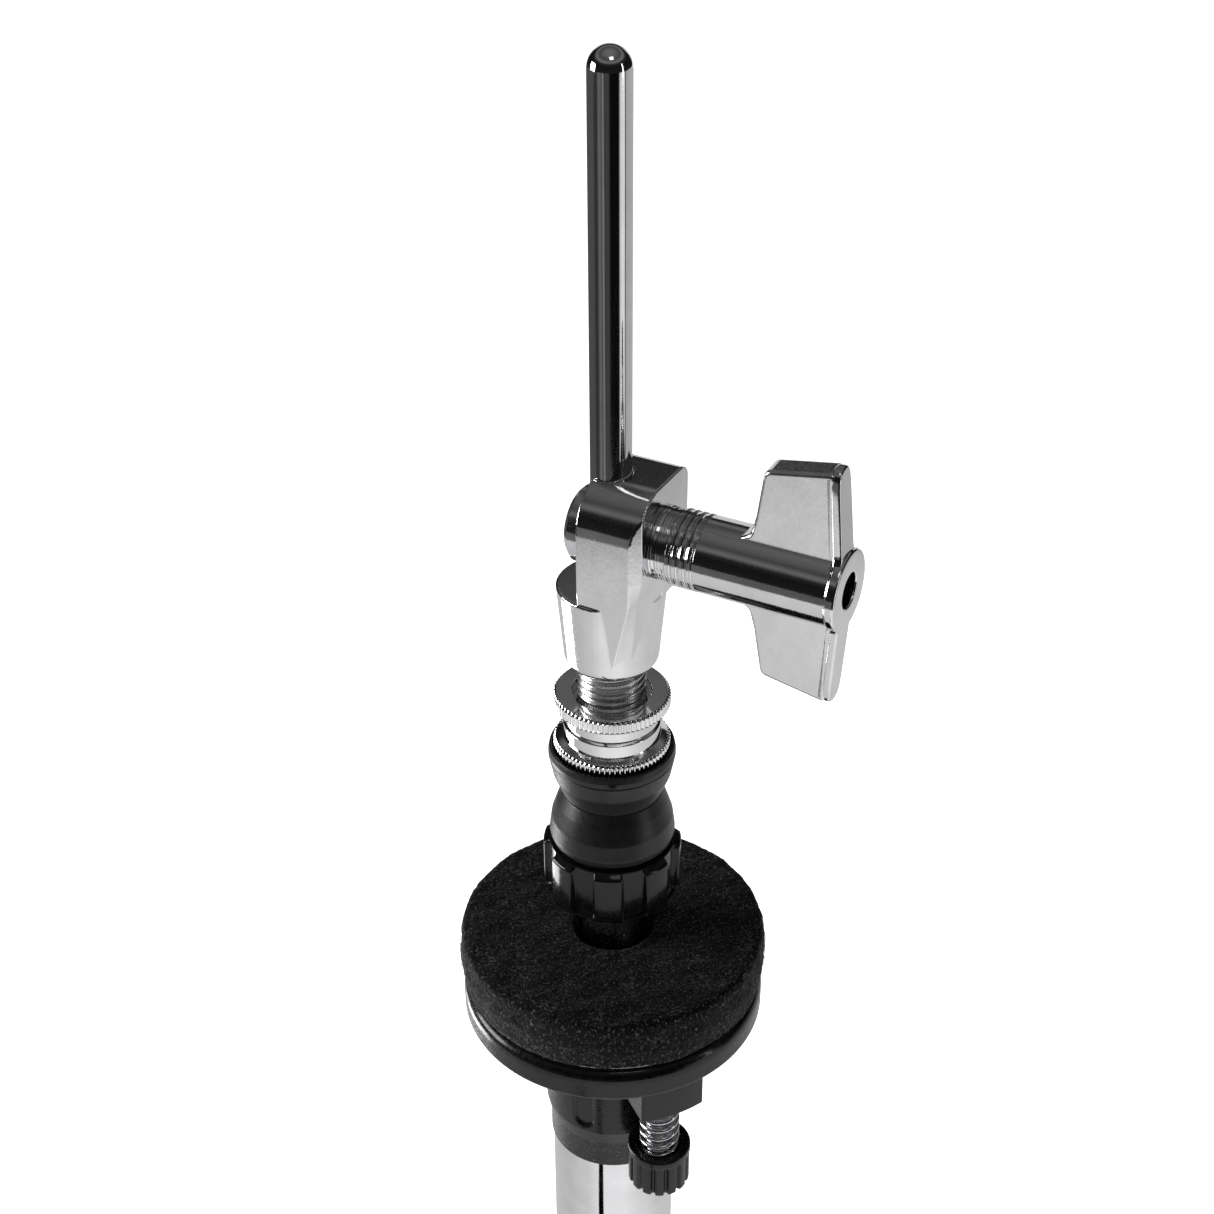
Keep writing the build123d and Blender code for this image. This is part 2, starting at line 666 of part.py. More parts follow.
def wing_nut():
    start = BLOCK_RIGHT + WASHER_THICKNESS
    boss = WING_NUT_END - WING_BOSS
    round_off = WING_BOSS / 2
    barrel = turned(
        (0, start),
        (WING_NECK_R, start),
        (WING_NECK_R, WING_RIB_START),
        (WING_RIB_R, WING_RIB_START),
        (WING_RIB_R, WING_RIB_END),
        (WING_BARREL_R, WING_RIB_END),
        (WING_BARREL_R, boss),
        (WING_BOSS_R, boss),
        (WING_BOSS_R, WING_NUT_END - round_off),
        (WING_BOSS_R - round_off, WING_NUT_END),
        (0, WING_NUT_END),
    )
    nut = across(barrel) + wings()
    nut -= across(rod(SHANK_R + THREAD_GAP, start, SHANK_END + END_GAP))
    return turned_to_wing(nut - across(rod(WING_HOLE_R, start, WING_NUT_END)))


NODES = {
    "upper_tube": upper_tube,
    "tube_collar": tube_collar,
    "bottom_guide_bush": bottom_guide_bush,
    "top_guide_plug": top_guide_plug,
    "rod_guide_sleeve": rod_guide_sleeve,
    "pull_rod": pull_rod,
    "seat_cup": seat_cup,
    "centre_post": centre_post,
    "tilt_plate": tilt_plate,
    "seat_felt": seat_felt,
    "tilter_insert": tilter_insert,
    "tilter_screw": tilter_screw,
    "tilter_knob": tilter_knob,
    "tilter_spring": tilter_spring,
    "bottom_nut": bottom_nut,
    "bottom_nut_insert": bottom_nut_insert,
    "lower_rubber_washer": lower_rubber_washer,
    "upper_rubber_washer": upper_rubber_washer,
    "clutch_tube": clutch_tube,
    "lower_lock_nut": lower_lock_nut,
    "upper_lock_nut": upper_lock_nut,
    "clutch_body": clutch_body,
    "clutch_eyebolt": clutch_eyebolt,
    "wing_washer": wing_washer,
    "wing_nut": wing_nut,
}

for node, make in NODES.items():
    export_step(make(), f"parts/{node}.step")
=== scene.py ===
import json
from math import cos, pi, radians, sin, tan

import bmesh
import bpy
import numpy as np
from mathutils import Matrix, Vector


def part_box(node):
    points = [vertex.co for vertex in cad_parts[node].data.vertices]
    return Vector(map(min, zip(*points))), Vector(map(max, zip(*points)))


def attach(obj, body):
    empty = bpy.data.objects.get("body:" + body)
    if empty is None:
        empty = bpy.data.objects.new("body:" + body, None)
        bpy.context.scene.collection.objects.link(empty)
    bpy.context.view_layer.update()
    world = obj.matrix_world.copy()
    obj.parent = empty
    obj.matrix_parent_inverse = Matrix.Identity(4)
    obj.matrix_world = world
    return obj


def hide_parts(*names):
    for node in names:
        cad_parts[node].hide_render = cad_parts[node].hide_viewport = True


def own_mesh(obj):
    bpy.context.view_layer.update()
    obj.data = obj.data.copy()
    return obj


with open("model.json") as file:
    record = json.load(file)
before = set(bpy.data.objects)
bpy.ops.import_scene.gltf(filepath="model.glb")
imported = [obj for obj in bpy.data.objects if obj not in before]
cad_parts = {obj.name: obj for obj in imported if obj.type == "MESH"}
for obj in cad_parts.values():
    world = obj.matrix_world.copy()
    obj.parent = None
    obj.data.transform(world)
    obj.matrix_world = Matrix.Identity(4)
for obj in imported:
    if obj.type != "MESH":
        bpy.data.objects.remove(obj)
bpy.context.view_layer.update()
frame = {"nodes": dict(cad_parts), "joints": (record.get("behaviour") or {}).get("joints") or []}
cad = frame["nodes"]
joint = {j["name"]: j for j in frame["joints"]}

# ---- Upper tube
# A length of welded steel tube, drawn, polished and chrome plated. Its foot drops into the clamp of
# the stand's base, and its top is turned down a little where the seat is pressed on.

MM = 0.001
TUBE_R = 11.1
TUBE_BORE_R = 9.9
SPIGOT_R = 10.8
SPIGOT_Z = 226.1
TUBE_EDGE = 0.35
PLATE_TONE = (0.80, 0.80, 0.815, 1)


def heights(node):
    """The lowest and highest point of a solid, in millimetres."""
    return [corner.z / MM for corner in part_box(node)]


def rounded(outline, closed=True, step=None):
    """Points of an outline of straight runs with rounded corners. A corner (a, b, r) becomes the curve
    (1-t)^2 P + 2t(1-t) Q + t^2 R, where P and R lie r cot(half its angle) from the corner Q on its two
    runs, with one more point just outside each end so that the runs stay flat in shading.
    Runs longer than step, if given, are cut into equal parts."""
    corners = np.array([(c[0], c[1]) for c in outline], float)
    count = len(corners)
    rows = []
    for i, corner in enumerate(outline):
        here = corners[i]
        if not closed and i in (0, count - 1):
            rows.append(here)
            continue
        back, ahead = corners[i - 1] - here, corners[(i + 1) % count] - here
        back_length, ahead_length = np.linalg.norm(back), np.linalg.norm(ahead)
        back, ahead = back / back_length, ahead / ahead_length
        half = np.arccos(np.clip(back @ ahead, -1, 1)) / 2
        round_r = corner[2] if len(corner) > 2 else 0.04
        reach = min(round_r / max(tan(half), 1e-6), 0.42 * back_length, 0.42 * ahead_length)
        p, r = here + back * reach, here + ahead * reach
        rows.append(here + back * reach * 1.15)
        rows += [(1 - t) ** 2 * p + 2 * t * (1 - t) * here + t * t * r for t in np.linspace(0, 1, 6)]
        rows.append(here + ahead * reach * 1.15)
    if step:
        ends = rows[1:] + rows[:1] if closed else rows[1:]
        parts = [max(1, int(np.ceil(np.linalg.norm(b - a) / step))) for a, b in zip(rows, ends)]
        cut = [a + (b - a) * k / n for a, b, n in zip(rows, ends, parts) for k in range(n)]
        rows = cut if closed else cut + [rows[-1]]
    return np.array(rows)


def woven(name, points, closed=True):
    """The mesh over a grid of points[i, j] in millimetres. Columns j go round and close on themselves.
    Rows i close too on a ring; otherwise the first and last rows are points on the axis or flat ends."""
    rows, columns = points.shape[:2]
    i, j = np.meshgrid(np.arange(rows if closed else rows - 1), np.arange(columns), indexing="ij")
    below, beside = (i + 1) % rows, (j + 1) % columns
    quads = np.stack([i * columns + j, i * columns + beside, below * columns + beside,
                      below * columns + j], axis=-1).reshape(-1, 4)
    faces = quads.tolist()
    if not closed:
        faces += [(end * columns + np.arange(columns)).tolist() for end in (0, rows - 1)
                  if np.ptp(points[end], axis=0).max() > 1e-6]
    mesh = bpy.data.meshes.new(name)
    mesh.from_pydata((points.reshape(-1, 3) * MM).tolist(), [], faces)
    shell = bmesh.new()
    shell.from_mesh(mesh)
    bmesh.ops.remove_doubles(shell, verts=shell.verts, dist=1e-8)
    bmesh.ops.recalc_face_normals(shell, faces=shell.faces)
    shell.to_mesh(mesh)
    shell.free()
    mesh.polygons.foreach_set("use_smooth", [face.loop_total <= 4 for face in mesh.polygons])
    piece = bpy.data.objects.new(name, mesh)
    bpy.context.scene.collection.objects.link(piece)
    return piece


def turned(name, rows, around=144, closed=True, form=None, laid=None):
    """A body of revolution: the point (r cos a, r sin a, z) for every outline row (r, z) and angle a.
    form(r, z, a) may change the radius, and laid(points) lays the finished grid elsewhere."""
    rows = np.array(rows, float)
    r, a = np.meshgrid(rows[:, 0], np.linspace(0, 2 * pi, around, endpoint=False), indexing="ij")
    z = np.repeat(rows[:, 1:2], around, axis=1)
    if form:
        r = form(r, z, a)
    points = np.stack([r * np.cos(a), r * np.sin(a), z], axis=-1)
    return woven(name, laid(points) if laid else points, closed)


def fitted(piece, body, slot, material, *nodes):
    """Gives a piece its finish, sets it on its body and lets it stand for its solids."""
    piece.data.materials.clear()
    piece.data.materials.append(material)
    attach(piece, body)
    if nodes:
        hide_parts(*nodes)
    return piece


def shader(name, **sockets):
    """A new material with its shader's plain sockets set, ready for its textures."""
    material = bpy.data.materials.new(name)
    material.use_nodes = True
    surface = material.node_tree.nodes["Principled BSDF"]
    for socket, value in sockets.items():
        surface.inputs[socket.replace("_", " ")].default_value = value
    return material, surface


def noise(material, scale, detail=4.0, stretch=(1, 1, 1)):
    """A noise texture on the piece's own coordinates, drawn out along an axis by stretch."""
    nodes, links = material.node_tree.nodes, material.node_tree.links
    place, spread = nodes.new("ShaderNodeTexCoord"), nodes.new("ShaderNodeMapping")
    grain = nodes.new("ShaderNodeTexNoise")
    spread.inputs["Scale"].default_value = stretch
    grain.inputs["Scale"].default_value = scale
    grain.inputs["Detail"].default_value = detail
    links.new(place.outputs["Object"], spread.inputs["Vector"])
    links.new(spread.outputs["Vector"], grain.inputs["Vector"])
    return grain.outputs["Fac"]


def levels(material, value, low, high, start=0.35, end=0.65):
    """Takes a texture's range from start to end onto low to high."""
    step = material.node_tree.nodes.new("ShaderNodeMapRange")
    for socket, number in (("From Min", start), ("From Max", end), ("To Min", low), ("To Max", high)):
        step.inputs[socket].default_value = number
    material.node_tree.links.new(value, step.inputs["Value"])
    return step.outputs["Result"]


def roughened(material, surface, value):
    """Drives the surface's roughness by a texture."""
    material.node_tree.links.new(value, surface.inputs["Roughness"])


def graded(tree, value, *stops):
    """The colours of a ramp over a value, from (place, colour) stops."""
    ramp = tree.nodes.new("ShaderNodeValToRGB")
    entries = ramp.color_ramp.elements
    while len(entries) < len(stops):
        entries.new(0.5)
    for entry, (place, colour) in zip(entries, stops):
        entry.position = place
        entry.color = (*colour[:3], 1)
    tree.links.new(value, ramp.inputs["Fac"])
    return ramp.outputs["Color"]


def shades(material, surface, value, *stops):
    """Colours the surface by a ramp over a texture."""
    tree = material.node_tree
    tree.links.new(graded(tree, value, *stops), surface.inputs["Base Color"])


def relief(material, surface, *layers):
    """Bumps from textures, each (texture, depth in metres), stacked one on another."""
    nodes, links = material.node_tree.nodes, material.node_tree.links
    below = None
    for value, depth in layers:
        bump = nodes.new("ShaderNodeBump")
        bump.inputs["Distance"].default_value = depth
        links.new(value, bump.inputs["Height"])
        if below:
            links.new(below, bump.inputs["Normal"])
        below = bump.outputs["Normal"]
    links.new(below, surface.inputs["Normal"])


def chrome(name, tone, polish, haze, pits=0.0, along=(1, 1, 1)):
    """Chrome plate: a mirror with faint haze, fine polishing lines and, on castings, shallow pits."""
    material, surface = shader(name, Metallic=1.0)
    shades(material, surface, noise(material, 260, 6), (0.3, [c * 0.90 for c in tone[:3]]), (0.7, tone))
    lines = noise(material, 2600, 3, along)
    roughened(material, surface, levels(material, lines, polish, haze, 0.3, 0.75))
    layers = [(lines, 2.0e-6)]
    if pits:
        layers.append((noise(material, 3200, 2), pits))
    relief(material, surface, *layers)
    return material


tube_foot, tube_end = heights("upper_tube")
tube_plate = chrome("tube_chrome", PLATE_TONE, 0.035, 0.075, along=(1, 1, 0.02))
fitted(turned("upper_tube_shell", rounded([
    (TUBE_BORE_R, tube_foot, 0.2), (TUBE_R, tube_foot, TUBE_EDGE), (TUBE_R, SPIGOT_Z, 0.1),
    (SPIGOT_R, SPIGOT_Z, 0.04), (SPIGOT_R, tube_end, 0.2), (TUBE_BORE_R, tube_end, 0.2),
]), around=192), "stand", "upper_tube", tube_plate, "upper_tube")

# ---- Collar band
# A thin dark band round the tube just under the seat, shrunk on to hide the edge of the press fit.

BAND_WALL = 0.63
band_low, band_high = heights("tube_collar")
band, band_surface = shader("collar_band", Roughness=0.42)
specks = noise(band, 2600, 2)
shades(band, band_surface, specks, (0.58, (0.010, 0.010, 0.011)), (0.70, (0.12, 0.12, 0.125)))
relief(band, band_surface, (specks, 1.5e-5))
fitted(turned("collar_sleeve", rounded([
    (SPIGOT_R + 0.02, band_low), (SPIGOT_R + BAND_WALL, band_low, 0.12),
    (SPIGOT_R + BAND_WALL, band_high, 0.12), (SPIGOT_R + 0.02, band_high),
])), "stand", "tube_collar", band, "tube_collar")

# ---- Bushes and guide sleeve
# Turned nylon: a plug near each end of the tube that the rod passes through, and the flanged sleeve
# in the post that guides the rod. The sleeve is black, the plugs are natural nylon.


def nylon(name, tone, deep):
    """Turned nylon: slightly clouded, with the fine grooves of the lathe."""
    material, surface = shader(name, Roughness=0.45)
    shades(material, surface, noise(material, 420, 5), (0.3, deep), (0.7, tone))
    relief(material, surface, (noise(material, 1500, 3, (0.05, 0.05, 1)), 8e-6))
    return material


natural_nylon = nylon("natural_nylon", (0.76, 0.74, 0.69), (0.66, 0.64, 0.59))
black_nylon = nylon("black_nylon", (0.05, 0.05, 0.052), (0.03, 0.03, 0.032))
PLUG_R = 9.88
PASSAGE_R = 3.6
for node, name in (("bottom_guide_bush", "bottom_bush"), ("top_guide_plug", "top_plug")):
    plug_low, plug_high = heights(node)
    fitted(turned(name, rounded([
        (PASSAGE_R, plug_low, 0.3), (PLUG_R, plug_low, 0.4), (PLUG_R, plug_high, 0.4),
        (PASSAGE_R, plug_high, 0.3),
    ])), "stand", node, natural_nylon, node)

SLEEVE_BORE_R = 3.235
SLEEVE_R = 4.44
SLEEVE_FLANGE_R = 6.5
SLEEVE_FLANGE = 1.3
sleeve_low, sleeve_high = heights("rod_guide_sleeve")
fitted(turned("guide_sleeve_turned", rounded([
    (SLEEVE_BORE_R, sleeve_low, 0.2), (SLEEVE_FLANGE_R, sleeve_low, 0.3),
    (SLEEVE_FLANGE_R, sleeve_low + SLEEVE_FLANGE, 0.3), (SLEEVE_R, sleeve_low + SLEEVE_FLANGE, 0.05),
    (SLEEVE_R, sleeve_high, 0.25), (SLEEVE_BORE_R, sleeve_high, 0.25),
]), around=96), "guide_sleeve", "rod_guide_sleeve", black_nylon, "rod_guide_sleeve")

# ---- Pull rod
# A quarter-inch steel rod, ground, polished and chrome plated, with a domed top. Its foot has an M6
# thread for the pedal's connector.

ROD_R = 3.175
FOOT_THREAD_R = 3.0
FOOT_THREAD = 23.0
FOOT_PITCH = 1.0
FOOT_DEPTH = 0.28


def threaded(pitch, depth, low, high, fade=0.8):
    """A form for turned(): the radius drops by depth times a rounded V of the share of a pitch at
    height z and angle a, so the groove climbs one pitch a turn. It fades out at both ends."""
    def form(r, z, a):
        share = np.mod(z / pitch - a / (2 * pi), 1)
        vee = np.clip(1.25 * np.abs(2 * share - 1) - 0.1, 0, 1)
        ends = np.clip((z - low) / fade, 0, 1) * np.clip((high - z) / fade, 0, 1)
        return r - depth * vee * ends
    return form


rod_foot, rod_top = heights("pull_rod")
thread_end = rod_foot + FOOT_THREAD
dome = [(ROD_R * cos(t), rod_top - ROD_R + ROD_R * sin(t)) for t in np.linspace(0, pi / 2, 15)[1:-1]]
rod_rows = [(0, rod_foot), (FOOT_THREAD_R - 0.5, rod_foot), (FOOT_THREAD_R - 0.45, rod_foot + 0.02)]
rod_rows += [(FOOT_THREAD_R, z) for z in np.arange(rod_foot + 0.5, thread_end, FOOT_PITCH / 8)]
rod_rows += [(FOOT_THREAD_R, thread_end), (ROD_R - 0.05, thread_end + 0.01), (ROD_R, thread_end + 0.1),
             (ROD_R, thread_end + 0.3), (ROD_R, rod_top - ROD_R - 0.3), (ROD_R, rod_top - ROD_R)]
rod_plate = chrome("rod_chrome", PLATE_TONE, 0.03, 0.10, pits=2.5e-6, along=(1, 1, 0.03))
fitted(turned("pull_rod_shaft", [*rod_rows, *dome, (0, rod_top)], around=72, closed=False,
              form=threaded(FOOT_PITCH, FOOT_DEPTH, rod_foot + 0.4, thread_end - 0.3)),
       "rod", "pull_rod", rod_plate, "pull_rod")

# ---- Seat cup
# One moulding of black nylon: a neck pressed on the tube, a shallow dish with a turned-down lip,
# ribs under its deck, upright grip recesses in the neck and a bracket for the tilter screw.

NECK_R = 12.2
NECK_FOOT_R = 11.6
NECK_BORE_R = 10.82
NECK_TAPER = 3.0
DISH_R = 26.2
DISH_WALL = 1.5
DISH_DECK = 2.0
DISH_DEPTH = 6.0
LIP_ROUND = 2.6
LIP_FOOT_ROUND = 1.0
POST_HOLE_R = 5.52
RECESS_TURNS = np.radians(-116.0 + 90.0 * np.arange(4))
RECESS_HALF = 1.9
RECESS_DEPTH = 0.5
RECESS_FOOT = 5.9
TILTER_TURN = radians(-66.0)
BRACKET_R = 25.3
BRACKET_INNER_R = 11.5
BRACKET_WIDTH = 11.5
BRACKET_LOW = 251.4
RIB_THICKNESS = 1.4
RIB_DEPTH = 5.0
RIBS = 6
SUNK = 1.0  # how far bracket and ribs run into the deck
cup_low, deck = heights("seat_cup")


def smooth_step(x):
    """0 below 0, 1 above 1 and 3x^2 - 2x^3 between."""
    x = np.clip(x, 0, 1)
    return x * x * (3 - 2 * x)


def recessed(r, z, a):
    """The neck drops by the recess depth within the recess's half width of its middle line, counted
    as a distance on the unrolled neck, and from a round lower end upwards."""
    turn = np.abs(np.mod(a[..., None] - RECESS_TURNS + pi, 2 * pi) - pi).min(axis=-1)
    away = np.hypot(turn * NECK_R, np.clip(cup_low + RECESS_FOOT - z, 0, None))
    sunk = smooth_step((RECESS_HALF + 0.1 - away) / 0.3) * smooth_step((deck - DISH_DEPTH - z) / 0.6)
    return r - RECESS_DEPTH * sunk * (r > NECK_BORE_R + 0.3) * (z < deck - DISH_DECK - 1)


def plate(name, outline, low, high, edge, laid):
    """A flat piece cut to an outline and rounded along both rims: level t moves every outline point
    in by edge (1 - sin) and up by edge (1 - cos) of the rim's quarter turn. laid(x, y, z) places it."""
    ahead, back = np.roll(outline, -1, axis=0), np.roll(outline, 1, axis=0)
    run = ahead - back
    inward = np.stack([-run[:, 1], run[:, 0]], axis=-1) / np.linalg.norm(run, axis=1)[:, None]
    quarter = np.linspace(0, pi / 2, 5)
    inset = np.concatenate([[2.2 * edge, 1.15 * edge], edge * (1 - np.sin(quarter)), [0]])
    rise = np.concatenate([[0, 0], edge * (1 - np.cos(quarter)), [1.15 * edge]])
    levels_in = np.concatenate([inset, inset[::-1]])
    levels_up = np.concatenate([low + rise, high - rise[::-1]])
    flat = outline[None] + levels_in[:, None, None] * inward[None]
    z = np.broadcast_to(levels_up[:, None], flat.shape[:2])
    return woven(name, np.stack(laid(flat[..., 0], flat[..., 1], z), axis=-1), closed=False)


def swung(turn):
    """Lays a plate that was drawn along +X in the direction of turn from the axis."""
    return lambda x, y, z: (x * cos(turn) - y * sin(turn), x * sin(turn) + y * cos(turn), z)


cup_black, cup_surface = shader("moulded_nylon", Coat_Weight=0.1, Coat_Roughness=0.08,
                                Specular_IOR_Level=0.3)
shades(cup_black, cup_surface, noise(cup_black, 500, 5),
       (0.35, (0.003, 0.003, 0.0035)), (0.75, (0.008, 0.008, 0.0085)))
cup_grain = noise(cup_black, 1700, 4)
roughened(cup_black, cup_surface, levels(cup_black, cup_grain, 0.14, 0.34))
relief(cup_black, cup_surface, (noise(cup_black, 700, 3), 1.2e-5), (cup_grain, 3e-6))

fitted(turned("seat_cup_moulding", rounded([
    (NECK_BORE_R, cup_low), (NECK_FOOT_R, cup_low, 0.25), (NECK_R, cup_low + NECK_TAPER, 1.5),
    (NECK_R, deck - DISH_DECK, 0.8), (DISH_R - DISH_WALL, deck - DISH_DECK, 0.6),
    (DISH_R - DISH_WALL, deck - DISH_DEPTH, 0.3), (DISH_R, deck - DISH_DEPTH, LIP_FOOT_ROUND),
    (DISH_R, deck, LIP_ROUND), (POST_HOLE_R, deck), (POST_HOLE_R, tube_end), (NECK_BORE_R, tube_end),
], step=0.45), around=288, form=recessed), "stand", "seat_cup", cup_black, "seat_cup")
bracket_half = BRACKET_WIDTH / 2
bracket_corner = np.sqrt(BRACKET_R ** 2 - bracket_half ** 2)
across_bracket = np.linspace(-bracket_half + 0.8, bracket_half - 0.8, 9)
bracket_outline = rounded([
    (BRACKET_INNER_R, -bracket_half, 0.1), (bracket_corner, -bracket_half, 0.5),
    *((np.sqrt(BRACKET_R ** 2 - y * y), y) for y in across_bracket),
    (bracket_corner, bracket_half, 0.5), (BRACKET_INNER_R, bracket_half, 0.1)])
fitted(plate("tilter_bracket", bracket_outline, BRACKET_LOW, deck - SUNK, 0.45, swung(TILTER_TURN)),
       "stand", "seat_cup", cup_black)
rib_outline = rounded([(NECK_R - 0.5, -RIB_THICKNESS / 2), (DISH_R - 0.7, -RIB_THICKNESS / 2),
                       (DISH_R - 0.7, RIB_THICKNESS / 2), (NECK_R - 0.5, RIB_THICKNESS / 2)])
for index in range(RIBS):
    turn = TILTER_TURN + 2 * pi / RIBS * (index + 0.5)
    fitted(plate(f"dish_rib_{index}", rib_outline, deck - RIB_DEPTH, deck - SUNK, 0.25, swung(turn)),
           "stand", "seat_cup", cup_black)

# ---- Centre post and tilt plate
# The post is a short chromed steel tube with a flange that is trapped under the seat; the cymbal's
# hole drops over it. The plate is a thin steel disc that carries the felt and tips on the dish.

POST_R = 5.5
POST_BORE_R = 4.5
POST_FLANGE_R = 9.4
PLATE_R = 25.0
TILT_BORE_R = 7.0
post_low, post_high = heights("centre_post")
plate_low, plate_high = heights("tilt_plate")
post_plate = chrome("post_chrome", PLATE_TONE, 0.04, 0.10, along=(1, 1, 0.05))
fitted(turned("centre_post_tube", rounded([
    (POST_BORE_R, post_low), (POST_FLANGE_R, post_low, 0.2), (POST_FLANGE_R, tube_end, 0.2),
    (POST_R, tube_end), (POST_R, post_high, 0.5), (POST_BORE_R, post_high, 0.3),
]), around=96), "stand", "centre_post", post_plate, "centre_post")
plate_steel = chrome("plate_steel", (0.62, 0.62, 0.63), 0.16, 0.34)
fitted(turned("tilt_plate_disc", rounded([
    (TILT_BORE_R, plate_low, 0.2), (PLATE_R, plate_low, 0.25), (PLATE_R, plate_high, 0.25),
    (TILT_BORE_R, plate_high, 0.2),
])), "tilt_seat", "tilt_plate", plate_steel, "tilt_plate")

# ---- Seat felt
# A thick ring stamped from pressed black wool felt. Its rims are soft and its sides bulge a little,
# and loose pale fibres lie over it.

FELT_R = 26.6
FELT_TOP_R = 26.15
FELT_LUMPS = 0.10
FELT_NAP = 0.05
FIBRES = 6500
FIBRE_ROWS = 7
FIBRE_SIDES = 3
FIBRE_R = 0.013
ON_TOP = 0.55  # share of the fibres that lie on the felt's top
felt_low, felt_high = heights("seat_felt")
draw = np.random.default_rng(7)


def rippled(points, low_wave, high_wave, waves=36):
    """A sum of sine waves in seeded random directions, with wavelengths between the two given in
    millimetres, scaled to about -1 to 1."""
    heading = draw.normal(size=(waves, 3))
    heading /= np.linalg.norm(heading, axis=1)[:, None]
    heading *= (2 * pi / draw.uniform(low_wave, high_wave, waves))[:, None]
    phase = draw.uniform(0, 2 * pi, waves)
    return np.sin(points @ heading.T + phase).sum(axis=-1) / np.sqrt(waves)


def felted(points):
    """Moves the felt's surface in and out along the line from the middle of its section by long soft
    lumps and a short nap."""
    radius = np.hypot(points[..., 0], points[..., 1])
    middle = (TILT_BORE_R + FELT_R) / 2
    out = np.stack([points[..., 0] / radius * np.sign(radius - middle),
                    points[..., 1] / radius * np.sign(radius - middle),
                    np.sign(points[..., 2] - (felt_low + felt_high) / 2) + 0 * radius], axis=-1)
    face = np.minimum(points[..., 2] - felt_low, felt_high - points[..., 2])
    side = smooth_step(face / 0.8)
    out[..., 2] *= 1 - side
    out[..., :2] *= side[..., None]
    lift = FELT_LUMPS * rippled(points, 3, 9) + FELT_NAP * rippled(points, 0.7, 1.6)
    return points + out * lift[..., None] - out * FELT_LUMPS


felt_rows = rounded([
    (TILT_BORE_R + 0.1, felt_low + 0.1, 0.8), (FELT_TOP_R, felt_low + 0.1, 0.9),
    (FELT_R, (felt_low + felt_high) / 2, 6.0), (FELT_TOP_R, felt_high, 1.3),
    (TILT_BORE_R + 0.1, felt_high, 0.9),
], step=0.33)
felt, felt_surface = shader("wool_felt", Roughness=0.95, Sheen_Weight=0.15, Sheen_Roughness=0.5,
                            Sheen_Tint=(0.75, 0.75, 0.78, 1), Specular_IOR_Level=0.15)
hairs = noise(felt, 2400, 6, (1, 1, 0.7))
shades(felt, felt_surface, hairs, (0.45, (0.003, 0.003, 0.0035)), (0.57, (0.010, 0.010, 0.011)),
       (0.72, (0.20, 0.20, 0.21)))
relief(felt, felt_surface, (noise(felt, 900, 5), 2.2e-4), (hairs, 1.2e-4))
fitted(turned("seat_felt_ring", felt_rows, around=420, laid=felted),
       "tilt_seat", "seat_felt", felt, "seat_felt")


def loose_fibres(count):
    """Thin three-sided hairs over the felt, most of them on top of it and the rest on its side. Each
    starts at a random place and follows a gently turning line, a little above the surface."""
    steps = np.linspace(-0.5, 0.5, FIBRE_ROWS)
    length = draw.uniform(0.5, 2.0, count)
    turn = draw.uniform(0, 2 * pi, count)
    place = draw.uniform(0, 1, count)
    heading = draw.uniform(0, 2 * pi, count)
    bend = draw.normal(0, 1.6, count)
    along = steps[None] * length[:, None]
    lean = heading[:, None] + bend[:, None] * steps[None]
    side_way, up_way = along * np.cos(lean), along * np.sin(lean)
    top = (place < ON_TOP)[:, None]
    ring = TILT_BORE_R + 1 + (FELT_TOP_R - TILT_BORE_R - 2.4) * np.sqrt(place / ON_TOP)[:, None]
    height = felt_low + 1.2 + (felt_high - felt_low - 2.4) * ((place - ON_TOP) / (1 - ON_TOP))[:, None]
    r = np.where(top, np.clip(ring + up_way, TILT_BORE_R + 0.6, FELT_TOP_R - 0.5), FELT_R - 0.1)
    z = np.where(top, felt_high, np.clip(height + up_way, felt_low + 0.6, felt_high - 0.5))
    arch = (0.10 + 0.16 * draw.uniform(0, 1, (count, 1))) * (1 - (2 * steps[None]) ** 2) - 0.07
    r, z = np.where(top, r, r + arch), np.where(top, z + arch, z)
    a = turn[:, None] + side_way / r
    spine = np.stack([r * np.cos(a), r * np.sin(a), z], axis=-1)
    thick = FIBRE_R * (1 - 0.7 * (2 * np.abs(steps)) ** 2)
    corner = 2 * pi * np.arange(FIBRE_SIDES) / FIBRE_SIDES
    away = np.stack([np.cos(a), np.sin(a), 0 * a], axis=-1)[:, :, None] * np.cos(corner)[:, None]
    away = away + np.array([0, 0, 1]) * np.sin(corner)[:, None]
    points = spine[:, :, None] + thick[None, :, None, None] * away
    i, j = np.meshgrid(np.arange(FIBRE_ROWS - 1), np.arange(FIBRE_SIDES), indexing="ij")
    row, beside = FIBRE_SIDES * i, (j + 1) % FIBRE_SIDES
    quads = np.stack([row + j, row + beside, row + FIBRE_SIDES + beside, row + FIBRE_SIDES + j], axis=-1)
    faces = (np.arange(count) * FIBRE_ROWS * FIBRE_SIDES)[:, None, None] + quads.reshape(1, -1, 4)
    mesh = bpy.data.meshes.new("felt_fibres")
    mesh.from_pydata((points.reshape(-1, 3) * MM).tolist(), [], faces.reshape(-1, 4).tolist())
    mesh.polygons.foreach_set("use_smooth", np.ones(len(mesh.polygons), bool))
    piece = bpy.data.objects.new("felt_fibres", mesh)
    bpy.context.scene.collection.objects.link(piece)
    return piece


wool, wool_surface = shader("loose_wool", Roughness=0.7)
shades(wool, wool_surface, noise(wool, 300, 2), (0.45, (0.02, 0.02, 0.021)), (0.60, (0.38, 0.38, 0.39)))
fitted(loose_fibres(FIBRES), "tilt_seat", "seat_felt", wool)

# ---- Tilter: insert, screw, spring and knob
# A knurled brass bush pressed into the bracket takes an M5 screw whose point lifts one side of the
# tilt plate. A wound steel spring between bracket and knob stops it from turning by itself.

